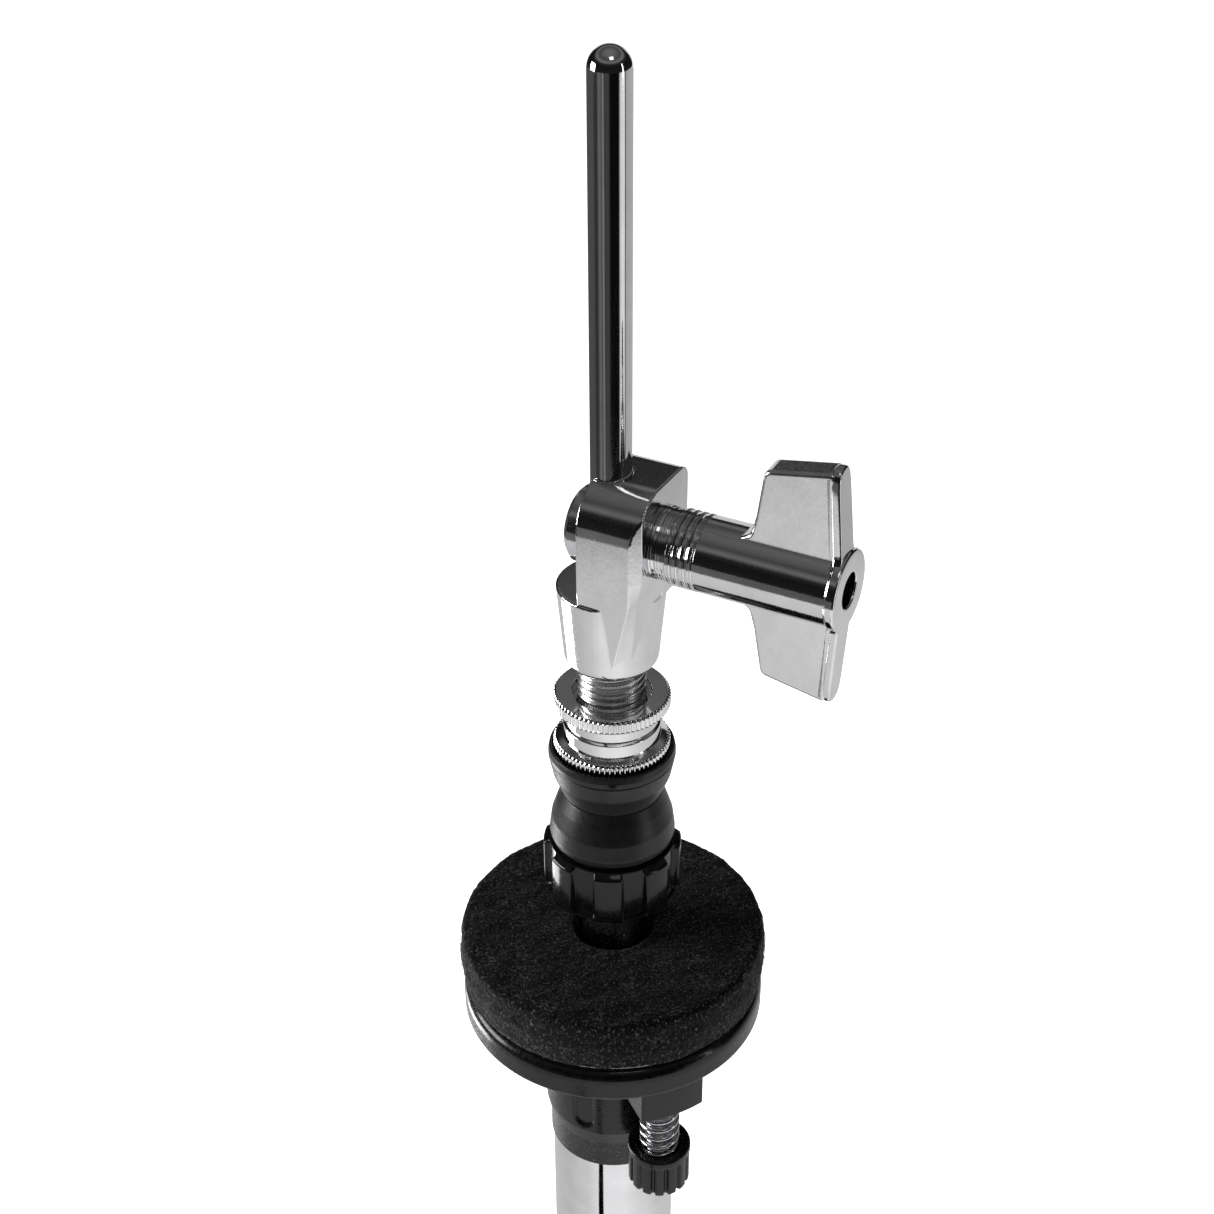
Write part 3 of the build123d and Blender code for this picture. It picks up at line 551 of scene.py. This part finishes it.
SCREW_R = 2.5
SCREW_PITCH = 0.8
SCREW_DEPTH = 0.35
SCREW_TIP_R = 0.5
SCREW_POINT = 2.0
KNOB_R = 5.5
KNOB_COLLAR = 1.6
KNOB_BASE = 1.0
KNOB_RECESS_R = 4.0
KNOB_RECESS = 1.5
FLUTES = 14
FLUTE_DEPTH = 0.6
SPRING_R = 3.1
WIRE_R = 0.4
SPRING_TURNS = 6.0
tilter_at = Vector(joint["tilter_knob_turn"]["pos_m"]) / MM


def on_screw(points):
    """Lays a body made about Z on the tilter screw's own axis."""
    return points + np.array([tilter_at.x, tilter_at.y, 0])


brass, brass_surface = shader("brass", Metallic=1.0)
shades(brass, brass_surface, noise(brass, 600, 4), (0.3, (0.52, 0.36, 0.14)), (0.7, (0.70, 0.52, 0.24)))
roughened(brass, brass_surface, levels(brass, noise(brass, 2500, 2), 0.16, 0.32))
for node in ("tilter_insert", "bottom_nut_insert"):
    cad[node].data.materials.clear()
    cad[node].data.materials.append(brass)

screw_steel = chrome("screw_steel", (0.60, 0.60, 0.62), 0.12, 0.26)
screw_low, screw_high = heights("tilter_screw")
point_low = screw_high - SCREW_POINT
screw_rows = [(0, screw_low), (SCREW_R - 0.3, screw_low)]
screw_rows += [(SCREW_R, z) for z in np.arange(screw_low + 0.3, point_low, SCREW_PITCH / 8)]
screw_rows += [(SCREW_TIP_R + 0.12, screw_high - 0.12), (SCREW_TIP_R, screw_high), (0, screw_high)]
fitted(turned("tilter_screw_thread", screw_rows, around=56, closed=False, laid=on_screw,
              form=threaded(SCREW_PITCH, SCREW_DEPTH, screw_low, point_low)),
       "screw", "tilter_screw", screw_steel, "tilter_screw")

knob_low, knob_high = heights("tilter_knob")


def fluted(r, z, a):
    """Below the collar, the wall dips by the flute depth in rounded hollows, one for every turn of
    the cosine of the flute count times the angle."""
    hollow = smooth_step((np.cos(FLUTES * a) - 0.15) / 0.85)
    under = smooth_step((knob_high - KNOB_COLLAR - z) / 0.35)
    return r - FLUTE_DEPTH * hollow * under * (r > KNOB_RECESS_R + 0.5)


knob_floor, collar_low = knob_high - KNOB_RECESS, knob_high - KNOB_COLLAR
fitted(turned("tilter_knob_moulding", rounded([
    (SCREW_R + 0.05, knob_low + KNOB_BASE), (SCREW_R + 0.05, knob_floor, 0.1),
    (KNOB_RECESS_R, knob_floor, 0.2), (KNOB_RECESS_R, knob_high, 0.3), (KNOB_R, knob_high, 0.45),
    (KNOB_R, collar_low + 0.2, 0.2), (KNOB_R - 0.12, collar_low, 0.1), (KNOB_R - 0.12, knob_low, 0.6),
    (0.01, knob_low, 0.0), (0.01, knob_low + KNOB_BASE, 0.0),
], step=0.4), around=FLUTES * 16, form=fluted, laid=on_screw),
    "knob", "tilter_knob", cup_black, "tilter_knob")

spring_low, spring_high = heights("tilter_spring")


def coiled():
    """A wire of radius w on the line (R cos a, R sin a, z(a)): z climbs evenly but lies flat over the
    first and last half turn. The section stands on the line's outward and upward directions."""
    a = np.linspace(0, 2 * pi * (SPRING_TURNS + 1), int(48 * (SPRING_TURNS + 1)))
    climb = np.clip((a - pi) / (2 * pi * SPRING_TURNS), 0, 1)
    z = spring_low + WIRE_R + (spring_high - spring_low - 2 * WIRE_R) * climb
    section = np.linspace(0, 2 * pi, 14, endpoint=False)
    r = SPRING_R + WIRE_R * np.cos(section)[None]
    points = np.stack([r * np.cos(a)[:, None], r * np.sin(a)[:, None],
                       z[:, None] + WIRE_R * np.sin(section)[None]], axis=-1)
    return woven("tilter_spring_wire", on_screw(points), closed=False)


spring_steel = chrome("spring_wire", (0.66, 0.66, 0.68), 0.14, 0.28)
spring = fitted(coiled(), "stand", "tilter_spring", spring_steel, "tilter_spring")
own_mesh(spring)

# ---- Clutch tube
# A steel tube threaded along its whole length and chrome plated, screwed and pinned into the clutch
# body. The cymbal, the rubbers, the lock nuts and the bottom nut all go on this thread.

THREAD_R = 5.55
THREAD_PITCH = 1.27
THREAD_DEPTH = 0.42
tube_low, tube_high = heights("clutch_tube")


def threaded_outside(r, z, a):
    """The thread is cut in the outer wall only."""
    cut = threaded(THREAD_PITCH, THREAD_DEPTH, tube_low, tube_high)(r, z, a)
    return np.where(r > PASSAGE_R + 0.5, cut, r)


tube_rows = [(PASSAGE_R, tube_high), (PASSAGE_R, tube_low), (THREAD_R - 0.4, tube_low)]
tube_rows += [(THREAD_R, z) for z in np.arange(tube_low + 0.3, tube_high, THREAD_PITCH / 10)]
thread_plate = chrome("thread_chrome", (0.74, 0.74, 0.75), 0.24, 0.36)
fitted(turned("clutch_tube_thread", tube_rows, around=96, form=threaded_outside),
       "clutch", "clutch_tube", thread_plate, "clutch_tube")

# ---- Bottom nut
# A glossy black moulded grip nut with eight straight ribs, chamfered at their tops, on a foot rim.
# A threaded brass bush is moulded into it, and the lower rubber sits in the recess of its top.

NUT_CORE_R = 10.6
NUT_RIB_R = 11.6
NUT_FOOT_R = 11.3
NUT_FOOT = 0.8
NUT_RIBS = 8
NUT_RIB_HALF = 2.3
NUT_RIB_TURN = radians(-94.0)
NUT_HOLE_R = 4.0
NUT_RECESS_R = 9.8
NUT_RECESS = 2.2
NUT_FLOOR = 1.6
NUT_LEDGE = 0.6  # height of the ledge that the brass bush stands on
NUT_SOCKET_R = 7.62
nut_low, nut_high = heights("bottom_nut")


def ribbed(r, z, a):
    """The wall stands out to the ribs within half a rib's width of their middles, falling off to
    nothing over the chamfer at the top, and to the foot rim between the ribs at the bottom."""
    spacing = 2 * pi / NUT_RIBS
    turn = np.mod(a - NUT_RIB_TURN + spacing / 2, spacing) - spacing / 2
    rib = smooth_step((NUT_RIB_HALF - np.abs(turn) * NUT_CORE_R) / 0.35 + 0.5)
    rib = rib * (NUT_RIB_R - NUT_CORE_R) * np.clip((nut_high - 0.05 - z) / 0.75, 0, 1)
    foot = (NUT_FOOT_R - NUT_CORE_R) * smooth_step((nut_low + NUT_FOOT - z) / 0.3)
    foot_round = 0.35 * smooth_step((nut_low + 0.3 - z) / 0.3)
    return r + np.where(r > NUT_RECESS_R + 0.4, np.maximum(rib, foot) - foot_round, 0)


nut_black, nut_surface = shader("gloss_nylon", Coat_Weight=0.1, Coat_Roughness=0.05,
                                Specular_IOR_Level=0.25)
shades(nut_black, nut_surface, noise(nut_black, 700, 4),
       (0.35, (0.004, 0.004, 0.0045)), (0.75, (0.010, 0.010, 0.011)))
nut_grain = noise(nut_black, 1900, 3)
roughened(nut_black, nut_surface, levels(nut_black, nut_grain, 0.08, 0.20))
relief(nut_black, nut_surface, (noise(nut_black, 500, 2), 1.0e-5), (nut_grain, 2e-6))
recess_floor, floor_top = nut_high - NUT_RECESS, nut_low + NUT_FLOOR
socket_floor = floor_top + NUT_LEDGE
fitted(turned("bottom_nut_moulding", rounded([
    (NUT_HOLE_R, nut_low, 0.3), (NUT_CORE_R, nut_low, 0.25), (NUT_CORE_R, nut_high, 0.2),
    (NUT_RECESS_R, nut_high, 0.15), (NUT_RECESS_R, recess_floor), (NUT_SOCKET_R, recess_floor),
    (NUT_SOCKET_R, socket_floor), (THREAD_R + 0.3, socket_floor), (THREAD_R + 0.3, floor_top),
    (NUT_HOLE_R, floor_top),
], step=0.25), around=NUT_RIBS * 44, form=ribbed), "grip_nut", "bottom_nut", nut_black, "bottom_nut")

# ---- Rubbers
# Two moulded black rubber washers, waisted where they meet, that grip the cymbal's bell from both
# sides. The upper one has a lip round the lock nut and a moulding nib at the front of its rim.

BELL_R = 10.5
WAIST_R = 8.3
LIP_R = 10.25
NUT_SEAT_R = 9.85
NIB_TURN = radians(-90.0)
LIP_HEIGHT = 0.75
RIM_ABOVE_NUT = 0.8
lower_low, waist = heights("lower_rubber_washer")
lip_high = heights("upper_rubber_washer")[1]
rubber_seat = lip_high - LIP_HEIGHT
bell = nut_high + RIM_ABOVE_NUT

rubber, rubber_surface = shader("moulded_rubber", Specular_IOR_Level=0.5)
shades(rubber, rubber_surface, noise(rubber, 650, 5),
       (0.35, (0.008, 0.008, 0.0085)), (0.7, (0.015, 0.015, 0.016)))
rubber_skin = noise(rubber, 3000, 4)
roughened(rubber, rubber_surface, levels(rubber, rubber_skin, 0.30, 0.44))
relief(rubber, rubber_surface, (noise(rubber, 900, 4), 1.2e-5), (rubber_skin, 8e-6))


def nibbed(r, z, a):
    """A small bump where the mould was filled, a bell curve of angle and height."""
    turn = np.mod(a - NIB_TURN + pi, 2 * pi) - pi
    bump = np.exp(-(turn * BELL_R / 0.55) ** 2 - ((z - rubber_seat + 0.75) / 0.28) ** 2)
    return r + 0.28 * bump * (r > WAIST_R)


fitted(turned("lower_rubber_moulding", rounded([
    (THREAD_R + 0.1, lower_low), (9.5, lower_low, 0.2), (9.5, bell, 0.15), (10.2, bell, 0.25),
    (BELL_R, bell + 1.3, 0.7), (10.12, bell + 4.2, 2.5), (9.2, bell + 7.0, 2.5),
    (WAIST_R, waist - 0.1, 0.25), (WAIST_R - 0.3, waist, 0.1), (THREAD_R + 0.1, waist),
], step=0.4)), "clutch", "lower_rubber_washer", rubber, "lower_rubber_washer")
fitted(turned("upper_rubber_moulding", rounded([
    (THREAD_R + 0.3, waist), (WAIST_R - 0.3, waist, 0.1), (WAIST_R, waist + 0.1, 0.25),
    (9.75, waist + 3.7, 3.0), (10.35, rubber_seat - 1.5, 0.3), (10.22, rubber_seat - 1.32, 0.12),
    (10.45, rubber_seat - 1.1, 0.25), (10.45, rubber_seat - 0.3, 0.4), (LIP_R, lip_high, 0.3),
    (NUT_SEAT_R, lip_high, 0.15), (NUT_SEAT_R, rubber_seat), (THREAD_R + 0.3, rubber_seat),
], step=0.25), around=288, form=nibbed),
    "upper_washer", "upper_rubber_washer", rubber, "upper_rubber_washer")

# ---- Lock nuts
# Two chromed steel nuts turned from bar: each has a rim with a straight knurl rolled into it and a
# polished hub. The upper one is turned over, and its top is counterbored round the thread.

KNURL_R = 9.525
KNURL_DEPTH = 0.34
KNURLS = 72
NUT_BORE_R = 5.62
nut_plate = chrome("nut_chrome", (0.78, 0.78, 0.79), 0.045, 0.13)


def knurled(low, high):
    """Teeth of a straight knurl: the rim drops by the knurl's depth times the share of a tooth left
    over by a triangle wave round the rim, running out over the rim's bevels."""
    def form(r, z, a):
        tooth = np.abs(2 * np.mod(KNURLS * a / (2 * pi), 1) - 1)
        drop = KNURL_DEPTH * np.clip(1.15 * tooth - 0.08, 0, 1)
        room = np.clip((r - (KNURL_R - 0.45)) / 0.4, 0, 1)
        return r - drop * room * (z > low - 0.01) * (z < high + 0.01)
    return form


low, high = heights("lower_lock_nut")
fitted(turned("lower_nut_turned", rounded([
    (NUT_BORE_R, low, 0.2), (KNURL_R - 0.3, low, 0.1), (KNURL_R, low + 0.35, 0.12),
    (KNURL_R, low + 2.1, 0.12), (KNURL_R - 0.35, low + 2.45, 0.1), (7.95, low + 3.0, 0.15),
    (7.9, high - 0.3, 0.15), (7.5, high, 0.15), (NUT_BORE_R, high, 0.2),
], step=0.35), around=KNURLS * 6, form=knurled(low, low + 2.45)),
    "lower_nut", "lower_lock_nut", nut_plate, "lower_lock_nut")
low, high = heights("upper_lock_nut")
fitted(turned("upper_nut_turned", rounded([
    (NUT_BORE_R, low, 0.2), (7.3, low, 0.12), (7.65, low + 0.35, 0.15), (7.65, low + 3.05, 0.2),
    (KNURL_R - 0.35, low + 3.05, 0.12), (KNURL_R, low + 3.4, 0.12), (KNURL_R, high - 0.45, 0.12),
    (KNURL_R - 0.5, high, 0.15), (6.45, high, 0.18), (6.45, high - 2.0, 0.1),
    (NUT_BORE_R, high - 2.0, 0.2),
], step=0.35), around=KNURLS * 6, form=knurled(low + 3.05, high)),
    "upper_nut", "upper_lock_nut", nut_plate, "upper_lock_nut")

# ---- Clutch body
# A zinc die casting, barrelled and chrome plated: a tapered cup over the clutch tube with an upright
# block on it that is bored for the rod and, across, for the eyebolt. The casting's corners are soft.

CASTING_GRAIN = 0.17
CASTING_SOFTNESS = 4


def as_cast(node, name):
    """A copy of a solid whose surface is laid anew in even small faces and then relaxed, so that
    every sharp corner becomes the soft one of a barrelled casting."""
    mesh = cad[node].data.copy()
    mesh.materials.clear()
    piece = bpy.data.objects.new(name, mesh)
    bpy.context.scene.collection.objects.link(piece)
    shell = bmesh.new()
    shell.from_mesh(mesh)
    bmesh.ops.remove_doubles(shell, verts=shell.verts, dist=1e-7)
    shell.to_mesh(mesh)
    shell.free()
    even = piece.modifiers.new("even", "REMESH")
    even.mode = "VOXEL"
    even.voxel_size = CASTING_GRAIN * MM
    even.use_smooth_shade = True
    soft = piece.modifiers.new("soft", "SMOOTH")
    soft.factor = 0.5
    soft.iterations = CASTING_SOFTNESS
    made = bpy.data.meshes.new_from_object(piece.evaluated_get(bpy.context.evaluated_depsgraph_get()))
    piece.modifiers.clear()
    piece.data = made
    return piece


cast_plate = chrome("cast_chrome", (0.76, 0.76, 0.77), 0.06, 0.16, pits=2e-6)
fitted(as_cast("clutch_body", "clutch_body_casting"), "clutch", "clutch_body", cast_plate, "clutch_body")

# ---- Eyebolt and washer
# A turned steel bolt whose round head has the rod's hole through it. The wing nut draws it across
# the block, and its head clamps the rod. The washer is turned with fine concentric grooves.

WASHER_R = 5.8
WASHER_BORE_R = 3.1
WASHER_NEAR = 8.9
WASHER_FAR = 10.0
wing_turn = joint["wing_nut_turn"]
wing_way = np.array(wing_turn["axis"], float)
wing_way /= np.linalg.norm(wing_way)
wing_back = np.cross([0, 0, 1], wing_way)
wing_z = wing_turn["pos_m"][2] / MM


def on_wing_axis(points):
    """Lays a body made about Z along the wing nut's axis, its X upright and its Y to the front."""
    return (points[..., 2:3] * wing_way + points[..., 0:1] * np.array([0, 0, 1])
            - points[..., 1:2] * wing_back + np.array([0, 0, wing_z]))


eye_plate = chrome("eyebolt_chrome", (0.74, 0.74, 0.76), 0.08, 0.2)
cad["clutch_eyebolt"].data.materials.clear()
cad["clutch_eyebolt"].data.materials.append(eye_plate)
turned_plate = chrome("turned_chrome", (0.76, 0.76, 0.77), 0.05, 0.13)
fitted(turned("wing_washer_turned", rounded([
    (WASHER_BORE_R, WASHER_NEAR), (WASHER_R - 0.15, WASHER_NEAR, 0.1), (WASHER_R, 9.15, 0.08),
    (WASHER_R - 0.12, 9.35, 0.05), (WASHER_R, 9.55, 0.05), (WASHER_R - 0.15, WASHER_FAR, 0.1),
    (WASHER_BORE_R, WASHER_FAR),
]), laid=on_wing_axis), "clutch", "wing_washer", turned_plate, "wing_washer")

# ---- Wing nut
# A long zinc die casting, chrome plated: a barrel with turned grooves at its mouth and two blades,
# each closed by a raised rim on its outer edge that runs into the ring round the end hole.

BARREL_R = 5.95
NECK_GROOVE = 0.22
BOSS_R = 6.3
END_HOLE_R = 2.75
BORE_R = 3.05
BLADE_HALF = 2.1
RIM_HALF = 2.55
BLADE_LEAN = radians(2.7)
RIM_REACH = 20.3
RIM_FOOT = 4.6
RIM_DRAW = 0.075
BARREL_END = 38.9


def wing_rows():
    """The barrel's outline: rings at the mouth, four paired grooves, the plain barrel, the boss, the
    end hole and the bore."""
    rows = [(BORE_R, WASHER_FAR, 0.1), (5.55, WASHER_FAR, 0.1), (5.75, 10.25, 0.08)]
    for start in (10.45, 10.95, 11.35):
        rows += [(5.72, start, 0.06), (5.72 - NECK_GROOVE * 0.7, start + 0.12, 0.05),
                 (5.76, start + 0.26, 0.06)]
    for start in (11.9, 13.1, 14.3, 15.5):
        rows += [(6.02, start, 0.1), (6.02, start + 0.35, 0.08), (6.02 - NECK_GROOVE, start + 0.47, 0.05),
                 (6.0, start + 0.6, 0.07), (6.0 - NECK_GROOVE * 0.7, start + 0.75, 0.05)]
    rows += [(BARREL_R, 16.45, 0.1), (BARREL_R, 37.2, 0.25), (BOSS_R, 37.5, 0.25),
             (BOSS_R, BARREL_END, 0.8), (END_HOLE_R, BARREL_END, 0.35), (END_HOLE_R, 30.1, 0.1),
             (BORE_R, 30.0, 0.05)]
    return rounded(rows)


def leaned(x, y, z):
    """Places a blade drawn as (along the axis, up) with its thickness across, leaning to the front."""
    up = y * cos(BLADE_LEAN) + z * sin(BLADE_LEAN)
    across = z * cos(BLADE_LEAN) - y * sin(BLADE_LEAN)
    place = (x[..., None] * wing_way + up[..., None] * np.array([0, 0, 1]) + across[..., None] * wing_back
             + np.array([0, 0, wing_z]))
    return place[..., 0], place[..., 1], place[..., 2]


def lean_end(x, y, z):
    """Places an end rim drawn as (across, up) with its thickness along the axis: it follows the
    blade's outer edge, which draws in by a set share of its height."""
    return leaned(z - np.abs(y) * RIM_DRAW, y, x)


blade = [(20.5, 3.0, 0.3), (21.6, 5.35, 1.2), (23.9, 6.6, 1.6), (24.75, 10.0, 2.5), (25.9, 17.9, 1.5),
         (36.6, 19.9, 0.9), (37.6, 5.0, 0.3), (37.6, 3.0, 0.2)]
wing_plate = chrome("wing_chrome", (0.76, 0.76, 0.77), 0.05, 0.15, pits=3e-6)
fitted(turned("wing_nut_barrel", wing_rows(), around=160, laid=on_wing_axis),
       "wing", "wing_nut", wing_plate, "wing_nut")
satin = chrome("wing_satin", (0.80, 0.80, 0.81), 0.14, 0.24, pits=2e-6)
for name, side in (("upper", 1), ("lower", -1)):
    outline = rounded([(x, side * y, r) for x, y, r in blade], step=0.5)
    fitted(plate(f"wing_blade_{name}", outline[::-side], -BLADE_HALF, BLADE_HALF, 0.55, leaned),
           "wing", "wing_nut", satin)

rim_up = np.linspace(RIM_FOOT, RIM_REACH, 81)
boss_half = np.sqrt(np.clip(BOSS_R ** 2 - rim_up ** 2, 0, None))
rim_half = np.maximum(RIM_HALF - 0.02 * rim_up, boss_half - 0.4)
rim_half = np.convolve(np.pad(rim_half, 6, mode="edge"), np.ones(13) / 13, mode="valid")
rim_half *= np.sqrt(1 - (rim_up / (RIM_REACH + 0.05)) ** 24)
rim_side = np.stack([rim_half, rim_up], axis=-1)
rim_outline = np.concatenate([rim_side, rim_side[::-1] * (-1, 1)])
for name, side in (("upper", 1), ("lower", -1)):
    outline = (rim_outline * (1, side))[::side]
    fitted(plate(f"wing_end_rim_{name}", outline, 37.35, BARREL_END - 0.05, 0.45, lean_end),
           "wing", "wing_nut", wing_plate)

# ---- Studio
# A plain pale floor and wide soft lamps. Chrome shows mostly its surroundings, so only mirrors see a
# small bright table under the object, a darker room round it, and a band of grey high up.

FLOOR_Z = -0.0262
TABLE_R = 0.635
TABLE_FADE = 0.06
ROOM_R = 2.5
TABLE_GLOW = ((-180, 0.60), (-140, 0.72), (-110, 0.95), (-70, 1.0), (-40, 0.85), (0, 0.7), (80, 0.6))
ROOM_GLOW = ((-180, 0.05), (-160, 0.03), (-146, 0.16), (-132, 0.09), (-124, 0.25), (-119, 0.05),
             (-100, 0.06), (-88, 0.004), (-46, 0.004), (-36, 0.80), (-14, 0.85), (-9, 0.01),
             (-2, 0.45), (60, 0.50), (110, 0.08))
SKY_GLOW = ((-1.0, 0.02), (0.3, 0.008), (0.48, 0.02), (0.62, 0.17), (0.78, 0.06), (1.0, 0.16))
LAMP_AIM = Vector((0, 0, 0.31))
FLAG_TURN = -114.0
FLAG_NEAR = 0.12
FLAG_FAR = 0.30
FLAG_HALF = 0.018


def sheet(name, outline, height, material):
    """A flat sheet on the floor, cut to an outline of (x, y) points."""
    mesh = bpy.data.meshes.new(name)
    mesh.from_pydata([(x, y, height) for x, y in outline], [], [list(range(len(outline)))])
    cut = bpy.data.objects.new(name, mesh)
    bpy.context.scene.collection.objects.link(cut)
    mesh.materials.append(material)
    return cut


def round_outline(radius):
    """Points (r cos a, r sin a) of a circle."""
    return [(radius * cos(a), radius * sin(a)) for a in np.linspace(0, 2 * pi, 96, endpoint=False)]


paper, paper_surface = shader("studio_paper", Roughness=0.9, Emission_Color=(1, 1, 1, 1),
                              Emission_Strength=1.0)
shades(paper, paper_surface, noise(paper, 30, 4), (0.3, (0.93, 0.93, 0.93)), (0.7, (0.95, 0.95, 0.95)))
backdrop = sheet("studio_floor", round_outline(12.0), FLOOR_Z - 0.001, paper)
backdrop.visible_glossy = False

card, card_surface = shader("studio_card", Base_Color=(0, 0, 0, 1), Roughness=1.0,
                            Specular_IOR_Level=0.0, Emission_Strength=1.0)
nodes, links = card.node_tree.nodes, card.node_tree.links
place, about, away = (nodes.new(f"ShaderNode{kind}") for kind in ("TexCoord", "TexGradient", "VectorMath"))
edge, blend = nodes.new("ShaderNodeMapRange"), nodes.new("ShaderNodeMix")
about.gradient_type, away.operation, blend.data_type = "RADIAL", "LENGTH", "RGBA"
edge.inputs["From Min"].default_value = TABLE_R
edge.inputs["From Max"].default_value = TABLE_R + TABLE_FADE
links.new(place.outputs["Object"], about.inputs["Vector"])
links.new(place.outputs["Object"], away.inputs[0])
links.new(away.outputs["Value"], edge.inputs["Value"])
links.new(edge.outputs["Result"], blend.inputs["Factor"])
for slot, stops in (("A", TABLE_GLOW), ("B", ROOM_GLOW)):
    glows = graded(card.node_tree, about.outputs["Fac"],
                   *((azimuth / 360 + 0.5, (glow,) * 3) for azimuth, glow in stops))
    links.new(glows, next(i for i in blend.inputs if i.name == slot and i.type == "RGBA"))
links.new(next(o for o in blend.outputs if o.type == "RGBA"), card_surface.inputs["Emission Color"])
table = sheet("studio_table", round_outline(ROOM_R), FLOOR_Z, card)
table.visible_camera = table.visible_shadow = False

black = shader("studio_flag", Base_Color=(0.002, 0.002, 0.002, 1), Roughness=1.0,
               Specular_IOR_Level=0.0)[0]
turn = radians(FLAG_TURN)
corners = ((FLAG_NEAR, -FLAG_HALF), (FLAG_FAR, -FLAG_HALF), (FLAG_FAR, FLAG_HALF), (FLAG_NEAR, FLAG_HALF))
flag = sheet("studio_flag_strip", [(r * cos(turn) - side * sin(turn), r * sin(turn) + side * cos(turn))
                                   for r, side in corners], FLOOR_Z + 0.001, black)
flag.visible_camera = flag.visible_shadow = False

world = bpy.data.worlds.new("studio")
bpy.context.scene.world = world
world.use_nodes = True
nodes, links = world.node_tree.nodes, world.node_tree.links
sky = nodes["Background"]
way, split = nodes.new("ShaderNodeTexCoord"), nodes.new("ShaderNodeSeparateXYZ")
rise = nodes.new("ShaderNodeMapRange")
rise.inputs["From Min"].default_value = -1
links.new(way.outputs["Generated"], split.inputs["Vector"])
links.new(split.outputs["Z"], rise.inputs["Value"])
bands = graded(world.node_tree, rise.outputs["Result"],
               *(((height + 1) / 2, (grey,) * 3) for height, grey in SKY_GLOW))
pick, white = nodes.new("ShaderNodeMixShader"), nodes.new("ShaderNodeBackground")
seen = nodes.new("ShaderNodeLightPath")
white.inputs["Color"].default_value = (1, 1, 1, 1)
links.new(bands, sky.inputs["Color"])
links.new(seen.outputs["Is Camera Ray"], pick.inputs["Fac"])
links.new(sky.outputs["Background"], pick.inputs[1])
links.new(white.outputs["Background"], pick.inputs[2])
links.new(pick.outputs["Shader"], nodes["World Output"].inputs["Surface"])


def lamp(name, azimuth, elevation, distance, width, height, glow):
    """A soft box at an azimuth and elevation in degrees round the object, facing it. Its power is pi
    times its area times the brightness it shows in a mirror."""
    light = bpy.data.lights.new(name, "AREA")
    light.shape = "RECTANGLE"
    light.size, light.size_y = width, height
    light.energy = pi * width * height * glow
    place = bpy.data.objects.new(name, light)
    bpy.context.scene.collection.objects.link(place)
    a, e = radians(azimuth), radians(elevation)
    way = Vector((cos(e) * cos(a), cos(e) * sin(a), sin(e)))
    place.location = LAMP_AIM + distance * way
    place.rotation_euler = way.to_track_quat("Z", "Y").to_euler()


lamp("left_box", 178, 8, 1.0, 0.5, 0.45, 11.0)
lamp("low_left", 152, -41, 0.47, 0.22, 0.12, 8.0)
lamp("right_strip", -24, 8, 1.0, 0.08, 0.7, 3.0)
lamp("front_top", -75, 62, 1.2, 0.35, 0.3, 1.6)
lamp("backdrop_glow", 84, 4, 1.3, 1.3, 0.75, 0.7)

# ---- Camera
# It stands in front and looks down on the clutch, rolled by a fraction of a degree.

CAMERA_DOWN = radians(32.5)
CAMERA_ROLL = radians(-0.28)
CAMERA_AWAY = 0.30808
CAMERA_AIM = Vector((-0.00072, 0, 0.3394))
CAMERA_LENS = 58.56
camera_data = bpy.data.cameras.new("camera")
camera_data.sensor_width = 36
camera_data.lens = CAMERA_LENS
camera_data.clip_start = 0.01
camera = bpy.data.objects.new("camera", camera_data)
bpy.context.scene.collection.objects.link(camera)
bpy.context.scene.camera = camera
towards_camera = Vector((0, -cos(CAMERA_DOWN), sin(CAMERA_DOWN)))
camera.matrix_world = (Matrix.Translation(CAMERA_AIM + CAMERA_AWAY * towards_camera)
                       @ Matrix.Rotation(pi / 2 - CAMERA_DOWN, 4, "X")
                       @ Matrix.Rotation(CAMERA_ROLL, 4, "Z"))
bpy.context.scene.view_settings.view_transform = "Standard"
